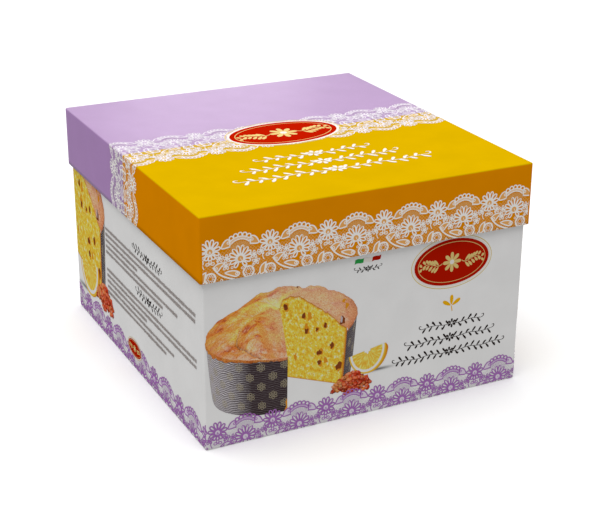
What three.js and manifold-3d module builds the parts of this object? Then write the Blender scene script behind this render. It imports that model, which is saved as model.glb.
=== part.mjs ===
// Gift box for a low panettone: a lift-off lid over a base tray, both folded and glued from
// micro-flute board, with the cake inside in its baking mould and a tied film bag.
//
// Units are millimetres and +Z is up. The origin is the centre of the tray's underside. The wide
// printed front faces -Y. Everything is stacked as it sits on a shelf: tray floor, bag, mould, cake
// and lid, with a small gap between pieces that touch.

import * as THREE from 'three';
import { mergeVertices } from 'three/addons/utils/BufferGeometryUtils.js';
import { RoundedBoxGeometry } from 'three/addons/geometries/RoundedBoxGeometry.js';
import Module from 'manifold-3d';

const wasm = await Module();
wasm.setup();

// Driving dimensions.
const LID_WIDTH = 240;
const LID_DEPTH = 258;
const BOX_HEIGHT = 160;
const LID_SKIRT = 43.5;
const BOARD = 0.9; // micro-flute board
const BASE_INSET = 2.4; // how far each tray wall stands inside the lid's outer face
const CREASE_RADIUS = 1.1; // outside radius of a folded edge
const CREASE_STEPS = 3;
const FLAP_WIDTH = 20; // glue flap inside each corner
const TOUCH_GAP = 0.3;

const FILM = 0.4; // bag film, thicker than the real one so that it is a solid
const MOULD_FOOT_RADIUS = 100;
const MOULD_RIM_RADIUS = 104;
const MOULD_HEIGHT = 80;
const MOULD_PAPER = 0.6;
const CAKE_HEIGHT = 118;
const CAKE_OVERHANG = 2.5; // how far the crust swells past the mould's rim
const BAG_SLACK = 1.6; // space between the film and what it holds
const CROWN_RADIUS = 28; // inside this the film leaves the crust and runs in to the neck
const CROWN_RISE = 4; // how far the film then stands above the cake
const NECK_RADIUS = 7;
const NECK_HEIGHT = 131; // the tie's height above the tray's underside
const NECK_LENGTH = 6; // straight film through the tie
const TUFT_WAIST_RADIUS = 14; // gathered film halfway up above the tie
const TUFT_RADIUS = 20;
const TUFT_HEIGHT = 154;
const TIE_RADIUS = 1.1; // of the wire in its paper
const TIE_SIDES = 8;
const TIE_SEGMENTS = 32;
const TURN_SEGMENTS = 60;

// Heights of the stack, from the tray's underside up.
const TRAY_WIDTH = LID_WIDTH - 2 * BASE_INSET;
const TRAY_DEPTH = LID_DEPTH - 2 * BASE_INSET;
const TRAY_HEIGHT = BOX_HEIGHT - BOARD - TOUCH_GAP;
const BAG_FLOOR = BOARD + TOUCH_GAP;
const MOULD_FLOOR = BAG_FLOOR + FILM + TOUCH_GAP;
const MOULD_TOP = MOULD_FLOOR + MOULD_HEIGHT;
const CAKE_FLOOR = MOULD_FLOOR + MOULD_PAPER + TOUCH_GAP;
const CAKE_TOP = CAKE_FLOOR + CAKE_HEIGHT;

// A closed geometry as a solid that can be joined and cut.
function toSolid(geometry) {
  const bare = geometry.clone();
  bare.deleteAttribute('normal');
  bare.deleteAttribute('uv');
  const merged = mergeVertices(bare, 1e-3);
  return new wasm.Manifold(
    new wasm.Mesh({
      numProp: 3,
      vertProperties: merged.attributes.position.array,
      triVerts: new Uint32Array(merged.index.array),
    }),
  );
}

function toGeometry(solid) {
  const mesh = solid.getMesh();
  const geometry = new THREE.BufferGeometry();
  geometry.setAttribute('position', new THREE.BufferAttribute(mesh.vertProperties, 3));
  geometry.setIndex(new THREE.BufferAttribute(mesh.triVerts, 1));
  geometry.computeVertexNormals();
  return geometry;
}

// A box from z = low to z = high, centred on (x, y).
function block(width, depth, low, high, x = 0, y = 0) {
  const geometry = new THREE.BoxGeometry(width, depth, high - low);
  return toSolid(geometry.translate(x, y, (low + high) / 2));
}

// One folded carton, standing open side up: a floor, four walls with softly rounded folds, and
// the two end flaps glued inside each corner, on the walls that face +X and -X.
function foldedCarton(width, depth, height) {
  const rounded = new RoundedBoxGeometry(width, depth, 2 * height, CREASE_STEPS, CREASE_RADIUS);
  const outside = toSolid(rounded.translate(0, 0, height));
  const cavity = block(width - 2 * BOARD, depth - 2 * BOARD, BOARD, 3 * height);
  const aboveRim = block(2 * width, 2 * depth, height, 3 * height);
  let carton = outside.subtract(cavity).subtract(aboveRim);
  for (const sideX of [-1, 1]) {
    for (const sideY of [-1, 1]) {
      const flapX = sideX * (width / 2 - 1.5 * BOARD);
      const flapY = sideY * (depth / 2 - BOARD / 2 - FLAP_WIDTH / 2);
      // The flap reaches into the wall and the corner it is glued to, so the three are one body.
      const flap = block(1.2 * BOARD, FLAP_WIDTH, BOARD / 2, height - BOARD, flapX, flapY);
      carton = carton.add(flap);
    }
  }
  return toGeometry(carton);
}

// A solid turned about the Z axis from [radius, height] pairs that start and end on the axis, or
// close on themselves, running so that the faces point out.
function turned(profile) {
  const points = profile.map(([radius, height]) => new THREE.Vector2(radius, height));
  return new THREE.LatheGeometry(points, TURN_SEGMENTS).rotateX(Math.PI / 2);
}

function boardMaterial(color) {
  return new THREE.MeshStandardMaterial({ color, roughness: 0.35, metalness: 0 });
}

// The tray: white board, open side up.
function makeBaseTray() {
  const geometry = foldedCarton(TRAY_WIDTH, TRAY_DEPTH, TRAY_HEIGHT);
  const mesh = new THREE.Mesh(geometry, boardMaterial(0xe9e9ec));
  mesh.name = 'base_tray';
  return mesh;
}

// The lid: the same kind of carton turned over, its top panel resting on the tray's rim.
function makeLid() {
  const geometry = foldedCarton(LID_WIDTH, LID_DEPTH, LID_SKIRT);
  const mesh = new THREE.Mesh(geometry, boardMaterial(0xc9a4d4));
  mesh.name = 'lid';
  mesh.rotation.x = Math.PI;
  mesh.position.z = BOX_HEIGHT;
  return mesh;
}

// The crust's outline above the mould: a swelling shoulder that rounds over into a low dome.
function crustOutline(spare) {
  const rimRadius = MOULD_RIM_RADIUS - MOULD_PAPER - TOUCH_GAP;
  const shoulder = new THREE.CubicBezierCurve(
    new THREE.Vector2(rimRadius, MOULD_TOP + TOUCH_GAP),
    new THREE.Vector2(rimRadius + 2 * CAKE_OVERHANG, MOULD_TOP + 14),
    new THREE.Vector2(rimRadius - 12, CAKE_TOP - 8),
    new THREE.Vector2(rimRadius - 48, CAKE_TOP - 3),
  );
  const crown = new THREE.CubicBezierCurve(
    new THREE.Vector2(rimRadius - 48, CAKE_TOP - 3),
    new THREE.Vector2(rimRadius - 66, CAKE_TOP - 0.5),
    new THREE.Vector2(24, CAKE_TOP),
    new THREE.Vector2(0, CAKE_TOP),
  );
  const points = [...shoulder.getPoints(9), ...crown.getPoints(5).slice(1)];
  return points.map((point) => [Math.max(point.x + spare, 0), point.y + spare]);
}

// The cake: one loaf that fills its mould and domes above it.
function makeLoaf() {
  const footRadius = MOULD_FOOT_RADIUS - MOULD_PAPER - TOUCH_GAP;
  const outline = [[0, CAKE_FLOOR], [footRadius, CAKE_FLOOR], ...crustOutline(0)];
  const material = new THREE.MeshStandardMaterial({ color: 0x9a5a24, roughness: 0.7 });
  const mesh = new THREE.Mesh(turned(outline), material);
  mesh.name = 'panettone_loaf';
  return mesh;
}

// The paper baking mould: a thin open cup.
function makeMould() {
  const inner = MOULD_PAPER;
  const outline = [
    [0, MOULD_FLOOR],
    [MOULD_FOOT_RADIUS, MOULD_FLOOR],
    [MOULD_RIM_RADIUS, MOULD_TOP],
    [MOULD_RIM_RADIUS - inner, MOULD_TOP],
    [MOULD_FOOT_RADIUS - inner, MOULD_FLOOR + inner],
    [0, MOULD_FLOOR + inner],
  ];
  const material = new THREE.MeshStandardMaterial({ color: 0x4a2b1c, roughness: 0.8 });
  const mesh = new THREE.Mesh(turned(outline), material);
  mesh.name = 'baking_mould';
  return mesh;
}

// The film bag: a loose skin round the cake, gathered to a neck and open at the tuft above it.
function makeBag() {
  const wallRadius = MOULD_RIM_RADIUS + BAG_SLACK;
  const crust = crustOutline(BAG_SLACK).filter(([radius]) => radius > CROWN_RADIUS);
  const skin = [
    [MOULD_FOOT_RADIUS + BAG_SLACK, BAG_FLOOR + FILM],
    [wallRadius, MOULD_TOP],
    ...crust,
    [0.75 * CROWN_RADIUS, CAKE_TOP + CROWN_RISE],
    [NECK_RADIUS, NECK_HEIGHT - NECK_LENGTH / 2],
    [NECK_RADIUS, NECK_HEIGHT + NECK_LENGTH / 2],
    [TUFT_WAIST_RADIUS, (NECK_HEIGHT + TUFT_HEIGHT) / 2],
    [TUFT_RADIUS, TUFT_HEIGHT],
  ];
  const inside = skin.map(([radius, height]) => [radius - FILM, height]).reverse();
  const outline = [
    [0, BAG_FLOOR],
    [MOULD_FOOT_RADIUS + BAG_SLACK, BAG_FLOOR],
    ...skin,
    ...inside,
    [0, BAG_FLOOR + FILM],
  ];
  const material = new THREE.MeshStandardMaterial({
    color: 0xdfe4e8,
    roughness: 0.15,
    transparent: true,
    opacity: 0.35,
  });
  const mesh = new THREE.Mesh(turned(outline), material);
  mesh.name = 'film_bag';
  return mesh;
}

// The tie: one ring of wire in paper, twisted shut round the bag's neck.
function makeTie() {
  const ringRadius = NECK_RADIUS + TIE_RADIUS + TOUCH_GAP;
  const geometry = new THREE.TorusGeometry(ringRadius, TIE_RADIUS, TIE_SIDES, TIE_SEGMENTS);
  const material = new THREE.MeshStandardMaterial({ color: 0xc9a227, roughness: 0.5 });
  const mesh = new THREE.Mesh(geometry, material);
  mesh.name = 'bag_tie';
  mesh.position.z = NECK_HEIGHT;
  return mesh;
}

const contents = new THREE.Group();
contents.add(makeLoaf(), makeMould(), makeBag(), makeTie());

const giftBox = new THREE.Group();
giftBox.add(makeBaseTray(), makeLid(), contents);

export default giftBox;
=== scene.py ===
"""Gift box for a low panettone: printed lid and tray, lace bands, a cake picture and the contents.

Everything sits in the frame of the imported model, in metres. Print is laid out in millimetres on the
flat panels of each carton and then seated on the folded board, a few hundredths of a millimetre
proud, the way a thick screened ink stands on film.
"""

import math
import random

import bmesh
import bpy
import numpy as np
from mathutils import Matrix, Vector, noise


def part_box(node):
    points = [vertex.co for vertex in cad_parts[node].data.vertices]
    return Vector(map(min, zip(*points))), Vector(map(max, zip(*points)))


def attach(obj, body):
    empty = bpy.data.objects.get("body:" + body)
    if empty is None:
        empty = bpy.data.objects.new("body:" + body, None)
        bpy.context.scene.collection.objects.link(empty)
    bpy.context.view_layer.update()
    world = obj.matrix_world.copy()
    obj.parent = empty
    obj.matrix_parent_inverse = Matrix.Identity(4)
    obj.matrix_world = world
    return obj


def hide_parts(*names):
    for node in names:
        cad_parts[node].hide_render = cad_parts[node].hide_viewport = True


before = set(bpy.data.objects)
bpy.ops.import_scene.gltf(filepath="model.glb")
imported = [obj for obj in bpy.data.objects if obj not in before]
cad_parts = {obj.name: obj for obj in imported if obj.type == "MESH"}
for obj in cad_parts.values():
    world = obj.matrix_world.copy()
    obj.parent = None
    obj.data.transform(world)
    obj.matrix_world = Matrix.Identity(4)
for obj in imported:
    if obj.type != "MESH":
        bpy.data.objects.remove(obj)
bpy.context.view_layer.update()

bl_info = {
    "name": "Panettone Gift Box",
    "version": (1, 0, 0),
    "blender": (4, 5, 0),
    "location": "View3D > Sidebar > Gift Box",
    "description": "Builds a printed two-piece gift carton with lace bands, a cake picture and its contents",
    "category": "Object",
}

MM = 0.001


def linear(colour):
    """An sRGB hex colour such as "#DC8B00" as linear red, green and blue."""
    channels = [int(colour[i : i + 2], 16) / 255 for i in (1, 3, 5)]
    return [c / 12.92 if c <= 0.04045 else ((c + 0.055) / 1.055) ** 2.4 for c in channels]


def colour_property(name, description, default):
    return bpy.props.FloatVectorProperty(
        name=name, description=description, subtype="COLOR", size=3, min=0.0, max=1.0, default=linear(default)
    )


def number_property(name, description, default, **more):
    return bpy.props.FloatProperty(name=name, description=description, default=default, **more)


def size_property(name, description, default_mm):
    return number_property(name, description, default_mm * MM, unit="LENGTH", precision=5)


class GiftBoxPrint(bpy.types.PropertyGroup):
    """Inks and print sizes."""

    # One lilac and one orange each, painted lighter (the orange yellower) on the lid's lit top and deeper on
    # its shaded skirt: painted light and shade.
    lilac: colour_property("Lilac", "Ink on the rear part of the lid's top", "#AD8FB8")
    orange: colour_property("Orange", "Ink on the front part of the lid's top", "#C69E00")
    lilac_skirt_painted_shade: colour_property("Lilac skirt", "Heavier lilac round the lid's skirt", "#A77AB8")
    orange_skirt_painted_shade: colour_property("Orange skirt", "Heavier orange round the lid's skirt", "#E08900")
    white: colour_property("White", "White of the coated board and the lid's lace", "#EBEAE9")
    tray_lace: colour_property("Tray lace", "Ink of the lace round the tray", "#A56FB4")
    red: colour_property("Red", "Ground of the medallion", "#AE1500")
    gold: colour_property("Gold", "Lines and sprigs of the medallion", "#D9C07A")
    dark: colour_property("Dark ink", "Ornaments and rules on the tray", "#2A211F")
    lace_period: size_property("Lace repeat", "Length of one repeat of the lace", 40.0)
    colour_change: size_property("Colour change", "From the lid's back edge to its orange part", 125.0)
    ink_height: size_property("Ink height", "How far the print stands off the board", 0.05)


class GiftBoxBoard(bpy.types.PropertyGroup):
    """Board and folds."""

    thickness: size_property("Board", "Thickness of the micro-flute board", 0.9)
    crease: size_property("Fold radius", "Outside radius of a folded edge", 1.1)
    lid_sag: size_property("Lid sag", "How far the middle of the lid's top sinks", 0.5)
    wall_bow: size_property("Wall bow", "How far the middle of a wall stands out", 0.35)


class GiftBoxStage(bpy.types.PropertyGroup):
    """Camera and light."""

    azimuth: number_property("Azimuth", "Camera's turn round the box, in degrees", -26.56)
    elevation: number_property("Elevation", "Camera's height above the horizon, in degrees", 22.18)
    roll: number_property("Roll", "Camera's lean, in degrees", 0.34)
    distance: number_property("Distance", "From the camera to its target", 1.0274, unit="LENGTH")
    lens: number_property("Lens", "Focal length in mm", 84.1)
    silk: number_property("Silk", "Strength of the broad light through the overhead silk", 2.9)
    sheen: number_property("Sheen", "Power of the softbox behind the box, in watts", 0.5)
    surround: number_property("Surround", "Brightness of the white studio walls", 0.5)


# ---------------------------------------------------------------------------------------------
# Materials
# ---------------------------------------------------------------------------------------------


def rgba(colour):
    """A hex string or a linear colour, made opaque."""
    return (*(linear(colour) if isinstance(colour, str) else colour), 1.0)


def plug(material, socket, value):
    """Sets a socket, or links it where the value is another node's output."""
    if isinstance(value, bpy.types.NodeSocket):
        material.node_tree.links.new(value, socket)
    else:
        socket.default_value = rgba(value) if socket.type == "RGBA" else value


def node(material, kind, inputs=(), stops=(), out=None, **properties):
    """Adds a shader node and gives its output called out, or else its first one in use. inputs are
    values or links for its sockets, in order or by name or number: a MapRange takes its value, then
    the ends of both ranges, and a colour Mix its share as 0 and its colours as 6 and 7. stops are a
    colour ramp's positions and colours, and properties are the node's own."""
    made = material.node_tree.nodes.new("ShaderNode" + kind)
    for key, value in properties.items():
        setattr(made, key, value)
    for key, value in inputs.items() if isinstance(inputs, dict) else enumerate(inputs):
        plug(material, made.inputs[key], value)
    for i, (position, colour) in enumerate(stops):
        if i >= 2:
            made.color_ramp.elements.new(position)
        made.color_ramp.elements[i].position = position
        made.color_ramp.elements[i].color = rgba(colour)
    return made.outputs[out] if out else next(output for output in made.outputs if output.enabled)


def finish(material, **sockets):
    """Sets or links sockets of the material's own shader, with _ for a space in their names."""
    shader = material.node_tree.nodes["Principled BSDF"]
    for key, value in sockets.items():
        plug(material, shader.inputs[key.replace("_", " ")], value)
    return material


def surface(name, **sockets):
    """A new material whose shader sockets hold these constants."""
    material = bpy.data.materials.new(name)
    material.use_nodes = True
    return finish(material, **sockets)


# ---------------------------------------------------------------------------------------------
# Points
# ---------------------------------------------------------------------------------------------


def unit(vectors):
    """The vectors, each made one long."""
    return vectors / np.maximum(np.linalg.norm(vectors, axis=1, keepdims=True), 1e-9)


def every(first, second):
    """Each value of first with each value of second, as two flat arrays."""
    return (values.ravel() for values in np.meshgrid(first, second, indexing="ij"))


def full_turn(steps):
    """Angles evenly round a circle, in radians."""
    return np.linspace(0, 2 * math.pi, steps, endpoint=False)


def polar(radius, turns, height=0.0):
    """Points round the vertical axis."""
    return np.column_stack((radius * np.cos(turns), radius * np.sin(turns), height + 0 * turns))


def columns_of(*parts):
    """Arrays and plain numbers side by side, as columns."""
    return np.column_stack(np.broadcast_arrays(*parts))


# ---------------------------------------------------------------------------------------------
# Folded cartons, and print laid out flat on their panels
# ---------------------------------------------------------------------------------------------

# Each panel as seen from outside: the corner at its top left, as signs along x, y and z, and the
# directions that print runs to the right and down.
PANELS = {
    "top": ((-1, 1, 1), (1, 0, 0), (0, -1, 0)),
    "front": ((-1, -1, 1), (1, 0, 0), (0, 0, -1)),
    "right": ((1, -1, 1), (0, 1, 0), (0, 0, -1)),
    "back": ((1, 1, 1), (-1, 0, 0), (0, 0, -1)),
    "left": ((-1, 1, 1), (0, -1, 0), (0, 0, -1)),
}


class Carton:
    """A folded carton: its sharp outer box in millimetres, and how points on it sit once folded."""

    def __init__(self, node_name, open_below, board):
        low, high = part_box(node_name)
        self.low = np.array(low) / MM
        self.high = np.array(high) / MM
        self.open_below = open_below
        self.thickness = board.thickness / MM
        self.crease = board.crease / MM
        self.sag = board.lid_sag / MM
        self.bow = board.wall_bow / MM
        self.core_low = self.low + self.crease
        self.core_high = self.high - self.crease
        if open_below:
            self.core_low[2] = self.low[2]
        else:
            self.core_high[2] = self.high[2]

    def seat(self, points, lift):
        """Points of the sharp box, in millimetres, moved round the folds, raised by lift along the
        surface and bowed with the board, in metres."""
        inner = np.clip(points, self.core_low, self.core_high)
        away = points - inner
        length = np.maximum(np.linalg.norm(away, axis=1, keepdims=True), 1e-6)
        seated = inner + away / length * (self.crease + np.reshape(lift, (-1, 1)))
        return self.bowed(seated) * MM

    def bowed(self, points):
        """The panels' slight bulge: a sunk lid top with a flared skirt, or full tray walls."""
        centre = (self.low + self.high) / 2
        across, along, up = ((points - centre) / (self.high - self.low) * 2).T
        hump_x, hump_y = np.clip(1 - along**2, 0, None), np.clip(1 - across**2, 0, None)
        reach, sink = np.sin(np.pi * np.clip((up + 1) / 2, 0, 1)) * 0.8, 0.0
        if self.open_below:
            reach, sink = (1 - up) / 2, self.sag * hump_x * hump_y
        out_x, out_y = hump_x * across**3, hump_y * along**3
        return points + columns_of(self.bow * reach * out_x, self.bow * reach * out_y, -sink)

    def panel(self, side, top=None):
        """The panel's top left corner, right and down vectors, width and height in millimetres."""
        signs, right, down = PANELS[side]
        corner = np.where(np.array(signs) > 0, self.high, self.low)
        if top is not None:
            corner[2] = top
        size = self.high - self.low
        width = abs(np.dot(right, size))
        height = size[1] if side == "top" else corner[2] - self.low[2]
        return corner, np.array(right, float), np.array(down, float), width, height


def ticks(low, high, pitch, fold_low, fold_high, crease):
    """Grid lines from low to high: fine ones round each fold and about pitch apart between."""
    fold = [crease * t for t in (0.0, 0.3, 0.6, 0.85)]
    start = low + crease if fold_low else low
    end = high - crease if fold_high else high
    count = max(1, round((end - start) / pitch))
    lines = [low + t for t in fold] if fold_low else []
    lines += [start + (end - start) * i / count for i in range(count + 1)]
    lines += [high - t for t in reversed(fold)] if fold_high else []
    return lines


def carton_mesh(name, carton, change=None, pitch=6.0):
    """A closed shell of board: printed outside, plain inside and a raw cut rim. The outside in
    front of y = change takes a second print."""
    axes = []
    for axis in range(3):
        folds = (axis < 2 or not carton.open_below, axis < 2 or carton.open_below)
        step = pitch if axis < 2 else pitch / 2
        axes.append(ticks(carton.low[axis], carton.high[axis], step, *folds, carton.crease))
    xs, ys, zs = axes
    if change is not None:
        ys = sorted([*ys, change])
    places, faces = {}, []

    def vertex(x, y, z):
        return places.setdefault((round(x, 4), round(y, 4), round(z, 4)), len(places))

    def grid(first, second, point):
        for a0, a1 in zip(first, first[1:]):
            for b0, b1 in zip(second, second[1:]):
                corners = [point(a0, b0), point(a1, b0), point(a1, b1), point(a0, b1)]
                faces.append([vertex(*c) for c in corners])

    low, high = carton.low, carton.high
    closed_z, rim_z, upright = (high[2], low[2], 1) if carton.open_below else (low[2], high[2], -1)
    grid(xs[::upright], ys, lambda x, y: (x, y, closed_z))
    grid(xs, zs, lambda x, z: (x, low[1], z))
    grid(xs[::-1], zs, lambda x, z: (x, high[1], z))
    grid(ys, zs, lambda y, z: (high[0], y, z))
    grid(ys[::-1], zs, lambda y, z: (low[0], y, z))

    sharp = np.array(list(places))
    count = len(sharp)
    shells = [carton.seat(sharp, np.full(count, lift)) for lift in (0.0, -carton.thickness)]
    on_rim = np.abs(sharp[:, 2] - rim_z) < 1e-3
    all_faces = list(faces)
    kinds = [0 if change is None or sharp[face, 1].mean() > change else 3 for face in faces]
    for face in faces:
        all_faces.append([v + count for v in reversed(face)])
        kinds.append(1)
        for a, b in zip(face, face[1:] + face[:1]):
            if on_rim[a] and on_rim[b]:
                all_faces.append([b, a, a + count, b + count])
                kinds.append(2)
    mesh = bpy.data.meshes.new(name)
    mesh.from_pydata(np.vstack(shells).tolist(), [], all_faces)
    mesh.polygons.foreach_set("material_index", kinds)
    mesh.shade_smooth()
    return mesh


def placed(name, data):
    """A new object in the scene."""
    thing = bpy.data.objects.new(name, data)
    bpy.context.scene.collection.objects.link(thing)
    return thing


def show(name, mesh, materials, slot_name, replaced=()):
    """Puts a mesh in the scene on the one body, wearing these materials."""
    piece = placed(name, mesh)
    for material in materials:
        mesh.materials.append(material)
    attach(piece, "root")
    if replaced:
        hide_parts(*replaced)


class Sheet:
    """Ink laid out flat: x to the right and y down, in millimetres, as strokes and filled patches.
    Each mark gets its own hair's breadth of height, so that crossing marks never lie in one plane,
    and the first dozen marks stay below all later ones."""

    LAYER = 0.0025
    LAYERS = 24

    def __init__(self, base):
        """base is the lowest mark's height off the board, in millimetres."""
        self.base = base
        self.points = []
        self.faces = []
        self.inks = []
        self.marks = 0

    def lift(self):
        """The next mark's height off the board."""
        self.marks += 1
        half = self.LAYERS // 2
        layer = self.marks if self.marks < self.LAYERS else half + self.marks % half
        return self.base + layer * self.LAYER

    def patch(self, outline, ink=0):
        """A small filled shape."""
        lift = self.lift()
        start = len(self.points)
        self.points += [(x, y, lift) for x, y in outline]
        self.faces.append(list(range(start, len(self.points))))
        self.inks.append(ink)

    def disc(self, outline, ink=0, rings=10):
        """A large filled shape in rings about its middle, fine enough to follow the board's bow."""
        lift = self.lift()
        start, count = len(self.points), len(outline)
        rim = np.array(outline)
        middle = rim.mean(0)
        for i in range(1, rings + 1):
            self.points += [(x, y, lift) for x, y in middle + (rim - middle) * i / rings]
        self.faces.append(list(range(start, start + count)))
        for i in range(rings - 1):
            for j in range(count):
                a, b = start + i * count + j, start + i * count + (j + 1) % count
                self.faces.append([a, b, b + count, a + count])
        self.inks += [ink] * (1 + (rings - 1) * count)

    def stroke(self, path, width, ink=0, closed=False, taper=False):
        """A line of constant width, or one that thins to a point at both ends."""
        points = np.array(path, float)
        if closed:
            before, after = np.roll(points, 1, 0), np.roll(points, -1, 0)
        else:
            before = np.vstack((points[:1], points[:-1]))
            after = np.vstack((points[1:], points[-1:]))
        run = after - before
        run /= np.maximum(np.linalg.norm(run, axis=1, keepdims=True), 1e-9)
        half = np.full(len(points), width / 2)
        if taper:
            half *= np.sin(np.linspace(0.06, 0.94, len(points)) * np.pi) ** 0.7
        aside = np.column_stack((-run[:, 1], run[:, 0])) * half[:, None]
        lift = self.lift()
        start = len(self.points)
        for side in (points - aside, points + aside):
            self.points += [(x, y, lift) for x, y in side]
        count = len(points)
        for i in range(count if closed else count - 1):
            j = (i + 1) % count
            self.faces.append([start + i, start + j, start + count + j, start + count + i])
            self.inks.append(ink)

    def ring(self, x, y, radius, width, ink=0, steps=12):
        """A round line."""
        self.stroke(arc(x, y, radius, 0, 360, steps)[:-1], width, ink, closed=True)

    def petal(self, x, y, angle, near, far, breadth, width, ink=0, fill=None):
        """A looped petal that points at angle, clockwise in degrees from up."""
        turn = math.radians(angle)
        outline = []
        for t in full_turn(14):
            along = near + (far - near) * (1 - math.cos(t)) / 2
            aside = breadth / 2 * math.sin(t) * (0.75 - 0.25 * math.cos(t))
            right = along * math.sin(turn) + aside * math.cos(turn)
            outline.append((x + right, y - along * math.cos(turn) + aside * math.sin(turn)))
        if fill is not None:
            self.patch(outline, fill)
        self.stroke(outline, width, ink, closed=True)

    def laid_out(self, offsets=(0.0,), scale=1.0, flip=False, shift=(0.0, 0.0), upright=False):
        """The sheet's mesh data, repeated at each offset along x, or down the panel if upright."""
        base = np.array(self.points) * (scale, -scale if flip else scale, 1)
        if upright:
            base = base[:, [1, 0, 2]]
        blocks, faces, inks = [], [], []
        for i, offset in enumerate(offsets):
            step = (0, offset, 0) if upright else (offset, 0, 0)
            blocks.append(base + step + (*shift, 0))
            faces += [[v + i * len(base) for v in face] for face in self.faces]
            inks += self.inks
        return np.vstack(blocks), faces, inks


def at_angle(x, y, radius, angle):
    """The point at a distance from (x, y), with its angle clockwise in degrees from up."""
    return x + radius * math.sin(math.radians(angle)), y - radius * math.cos(math.radians(angle))


def arc(x, y, radius, start, end, steps=16):
    """Points of an arc, from one angle to another."""
    return [at_angle(x, y, radius, start + (end - start) * i / steps) for i in range(steps + 1)]


def curve(*points, steps=10):
    """A smooth path of joined cubic pieces: first point, then two handles and an end for each."""
    path = [points[0]]
    for i in range(0, len(points) - 1, 3):
        p0, p1, p2, p3 = (Vector(p) for p in points[i : i + 4])
        for k in range(1, steps + 1):
            t = k / steps
            at = p0 * (1 - t) ** 3 + p1 * (3 * t * (1 - t) ** 2) + p2 * (3 * t * t * (1 - t)) + p3 * t**3
            path.append((at.x, at.y))
    return path


def printed(name, carton, panel, laid, materials, slot_name, window=None, values=None):
    """Prints laid-out ink on a panel, cut at the panel's edges or at window: left, top, right and
    bottom in millimetres. values are numbers per point for the inks to read."""
    points, faces, inks = laid
    left, top, far, bottom = window or (0.0, 0.0, *panel[3:])
    flat = bpy.data.meshes.new(name)
    flat.from_pydata(points.tolist(), [], faces)
    flat.polygons.foreach_set("material_index", inks)
    store(flat, values or {})
    ink = bmesh.new()
    ink.from_mesh(flat)
    cuts = [((left, 0, 0), (-1, 0, 0)), ((far, 0, 0), (1, 0, 0))]
    cuts += [((0, top, 0), (0, -1, 0)), ((0, bottom, 0), (0, 1, 0))]
    for place, normal in cuts:
        everything = ink.verts[:] + ink.edges[:] + ink.faces[:]
        bmesh.ops.bisect_plane(ink, geom=everything, plane_co=place, plane_no=normal, clear_outer=True)
    ink.normal_update()
    turned_away = [face for face in ink.faces if face.normal.z > 0]
    bmesh.ops.reverse_faces(ink, faces=turned_away)
    ink.to_mesh(flat)
    ink.free()
    seat_flat(flat, carton, panel)
    show(name, flat, materials, slot_name)


def store(mesh, values):
    """Puts per-point numbers or vectors on a mesh as attributes."""
    for key, value in values.items():
        kind, field = ("FLOAT", "value") if np.ndim(value) == 1 else ("FLOAT_VECTOR", "vector")
        mesh.attributes.new(key, kind, "POINT").data.foreach_set(field, np.ravel(value))


def stored(mesh, key):
    """A mesh's attribute as an array again."""
    attribute = mesh.attributes[key]
    width, field = (1, "value") if attribute.data_type == "FLOAT" else (3, "vector")
    found = np.empty(len(mesh.vertices) * width, np.float32)
    attribute.data.foreach_get(field, found)
    return found.astype(float) if width == 1 else found.reshape(-1, 3).astype(float)


def seat_flat(mesh, carton, panel):
    """Moves a mesh laid out as x right, y down and z lift onto its panel of the carton."""
    corner, right, down = panel[:3]
    flat = np.empty(len(mesh.vertices) * 3)
    mesh.vertices.foreach_get("co", flat)
    flat = flat.reshape(-1, 3)
    sharp = corner + flat[:, :1] * right + flat[:, 1:2] * down
    mesh.vertices.foreach_set("co", carton.seat(sharp, flat[:, 2]).ravel())
    mesh.update()


# ---------------------------------------------------------------------------------------------
# Lace
# ---------------------------------------------------------------------------------------------

LACE, HALF_TONE, NET = range(3)


def leaf(sheet, outline, eye):
    """A lace leaf: half-tone inside a firm outline, with a small round eye."""
    sheet.patch(outline[:-1], HALF_TONE)
    sheet.stroke(outline[:-1], 0.85, LACE, closed=True)
    sheet.ring(*eye, 0.75, 0.55, LACE)


def blossom(sheet, x, y, petals, reach, heart):
    """A lace flower: looped petals at the given angles round a half-tone heart."""
    for angle in petals:
        length = reach * (0.86 + 0.14 * math.cos(math.radians(angle)))
        sheet.petal(x, y, angle, heart + 0.3, length, 2.7, 0.88, LACE)
    sheet.patch(arc(x, y, heart, 0, 360, 14)[:-1], HALF_TONE)
    sheet.ring(x, y, heart, 0.85, LACE, 14)
    for angle in (150, 180, 210):
        tip = at_angle(x, y, heart * 0.8, angle)
        sheet.stroke([(x, y - heart * 0.2), tip], 0.35, LACE)


def floret(sheet, x, y, size=1.0):
    """A tiny flower of five petals round a knot."""
    for angle in range(0, 360, 72):
        sheet.petal(x, y, angle, 0.5 * size, 2.6 * size, 1.6 * size, 0.55, LACE)
    sheet.patch(arc(x, y, 0.7 * size, 0, 360, 8)[:-1], LACE)


def scallop_edge(x):
    """Where the ground net starts below the arches, x being the distance from an arch."""
    away = abs((x + 20) % 40 - 20)
    return 5.6 + 0.05 * min(away, 11.5) ** 2


def ground_net(sheet):
    """Net from the scallops' inner edge down, open under the large flowers. It lies lowest."""
    base, mesh, thread, arch_flower, between_flower = sheet.base, 2.35, 0.36, 7.6, 7.2
    for i in range(-8, 9):
        for lean in (-1, 1):
            for t in np.arange(-14.1, 12.6, mesh):
                x, y = i * mesh + lean * (t + mesh / 2), 18.5 + t + mesh / 2
                off_arch = math.hypot(x, y - 17.8) - arch_flower
                off_between = math.hypot(abs(x) - 20, y - 10.2) - between_flower
                if y > scallop_edge(x) and min(off_arch, off_between) > 0:
                    ends = [(i * mesh + lean * s, 18.5 + s) for s in (t, t + mesh)]
                    sheet.stroke(ends, thread, NET)
    sheet.points = [(x, y, base + 0.1 * (z - base) - 0.007) for x, y, z in sheet.points]


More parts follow.
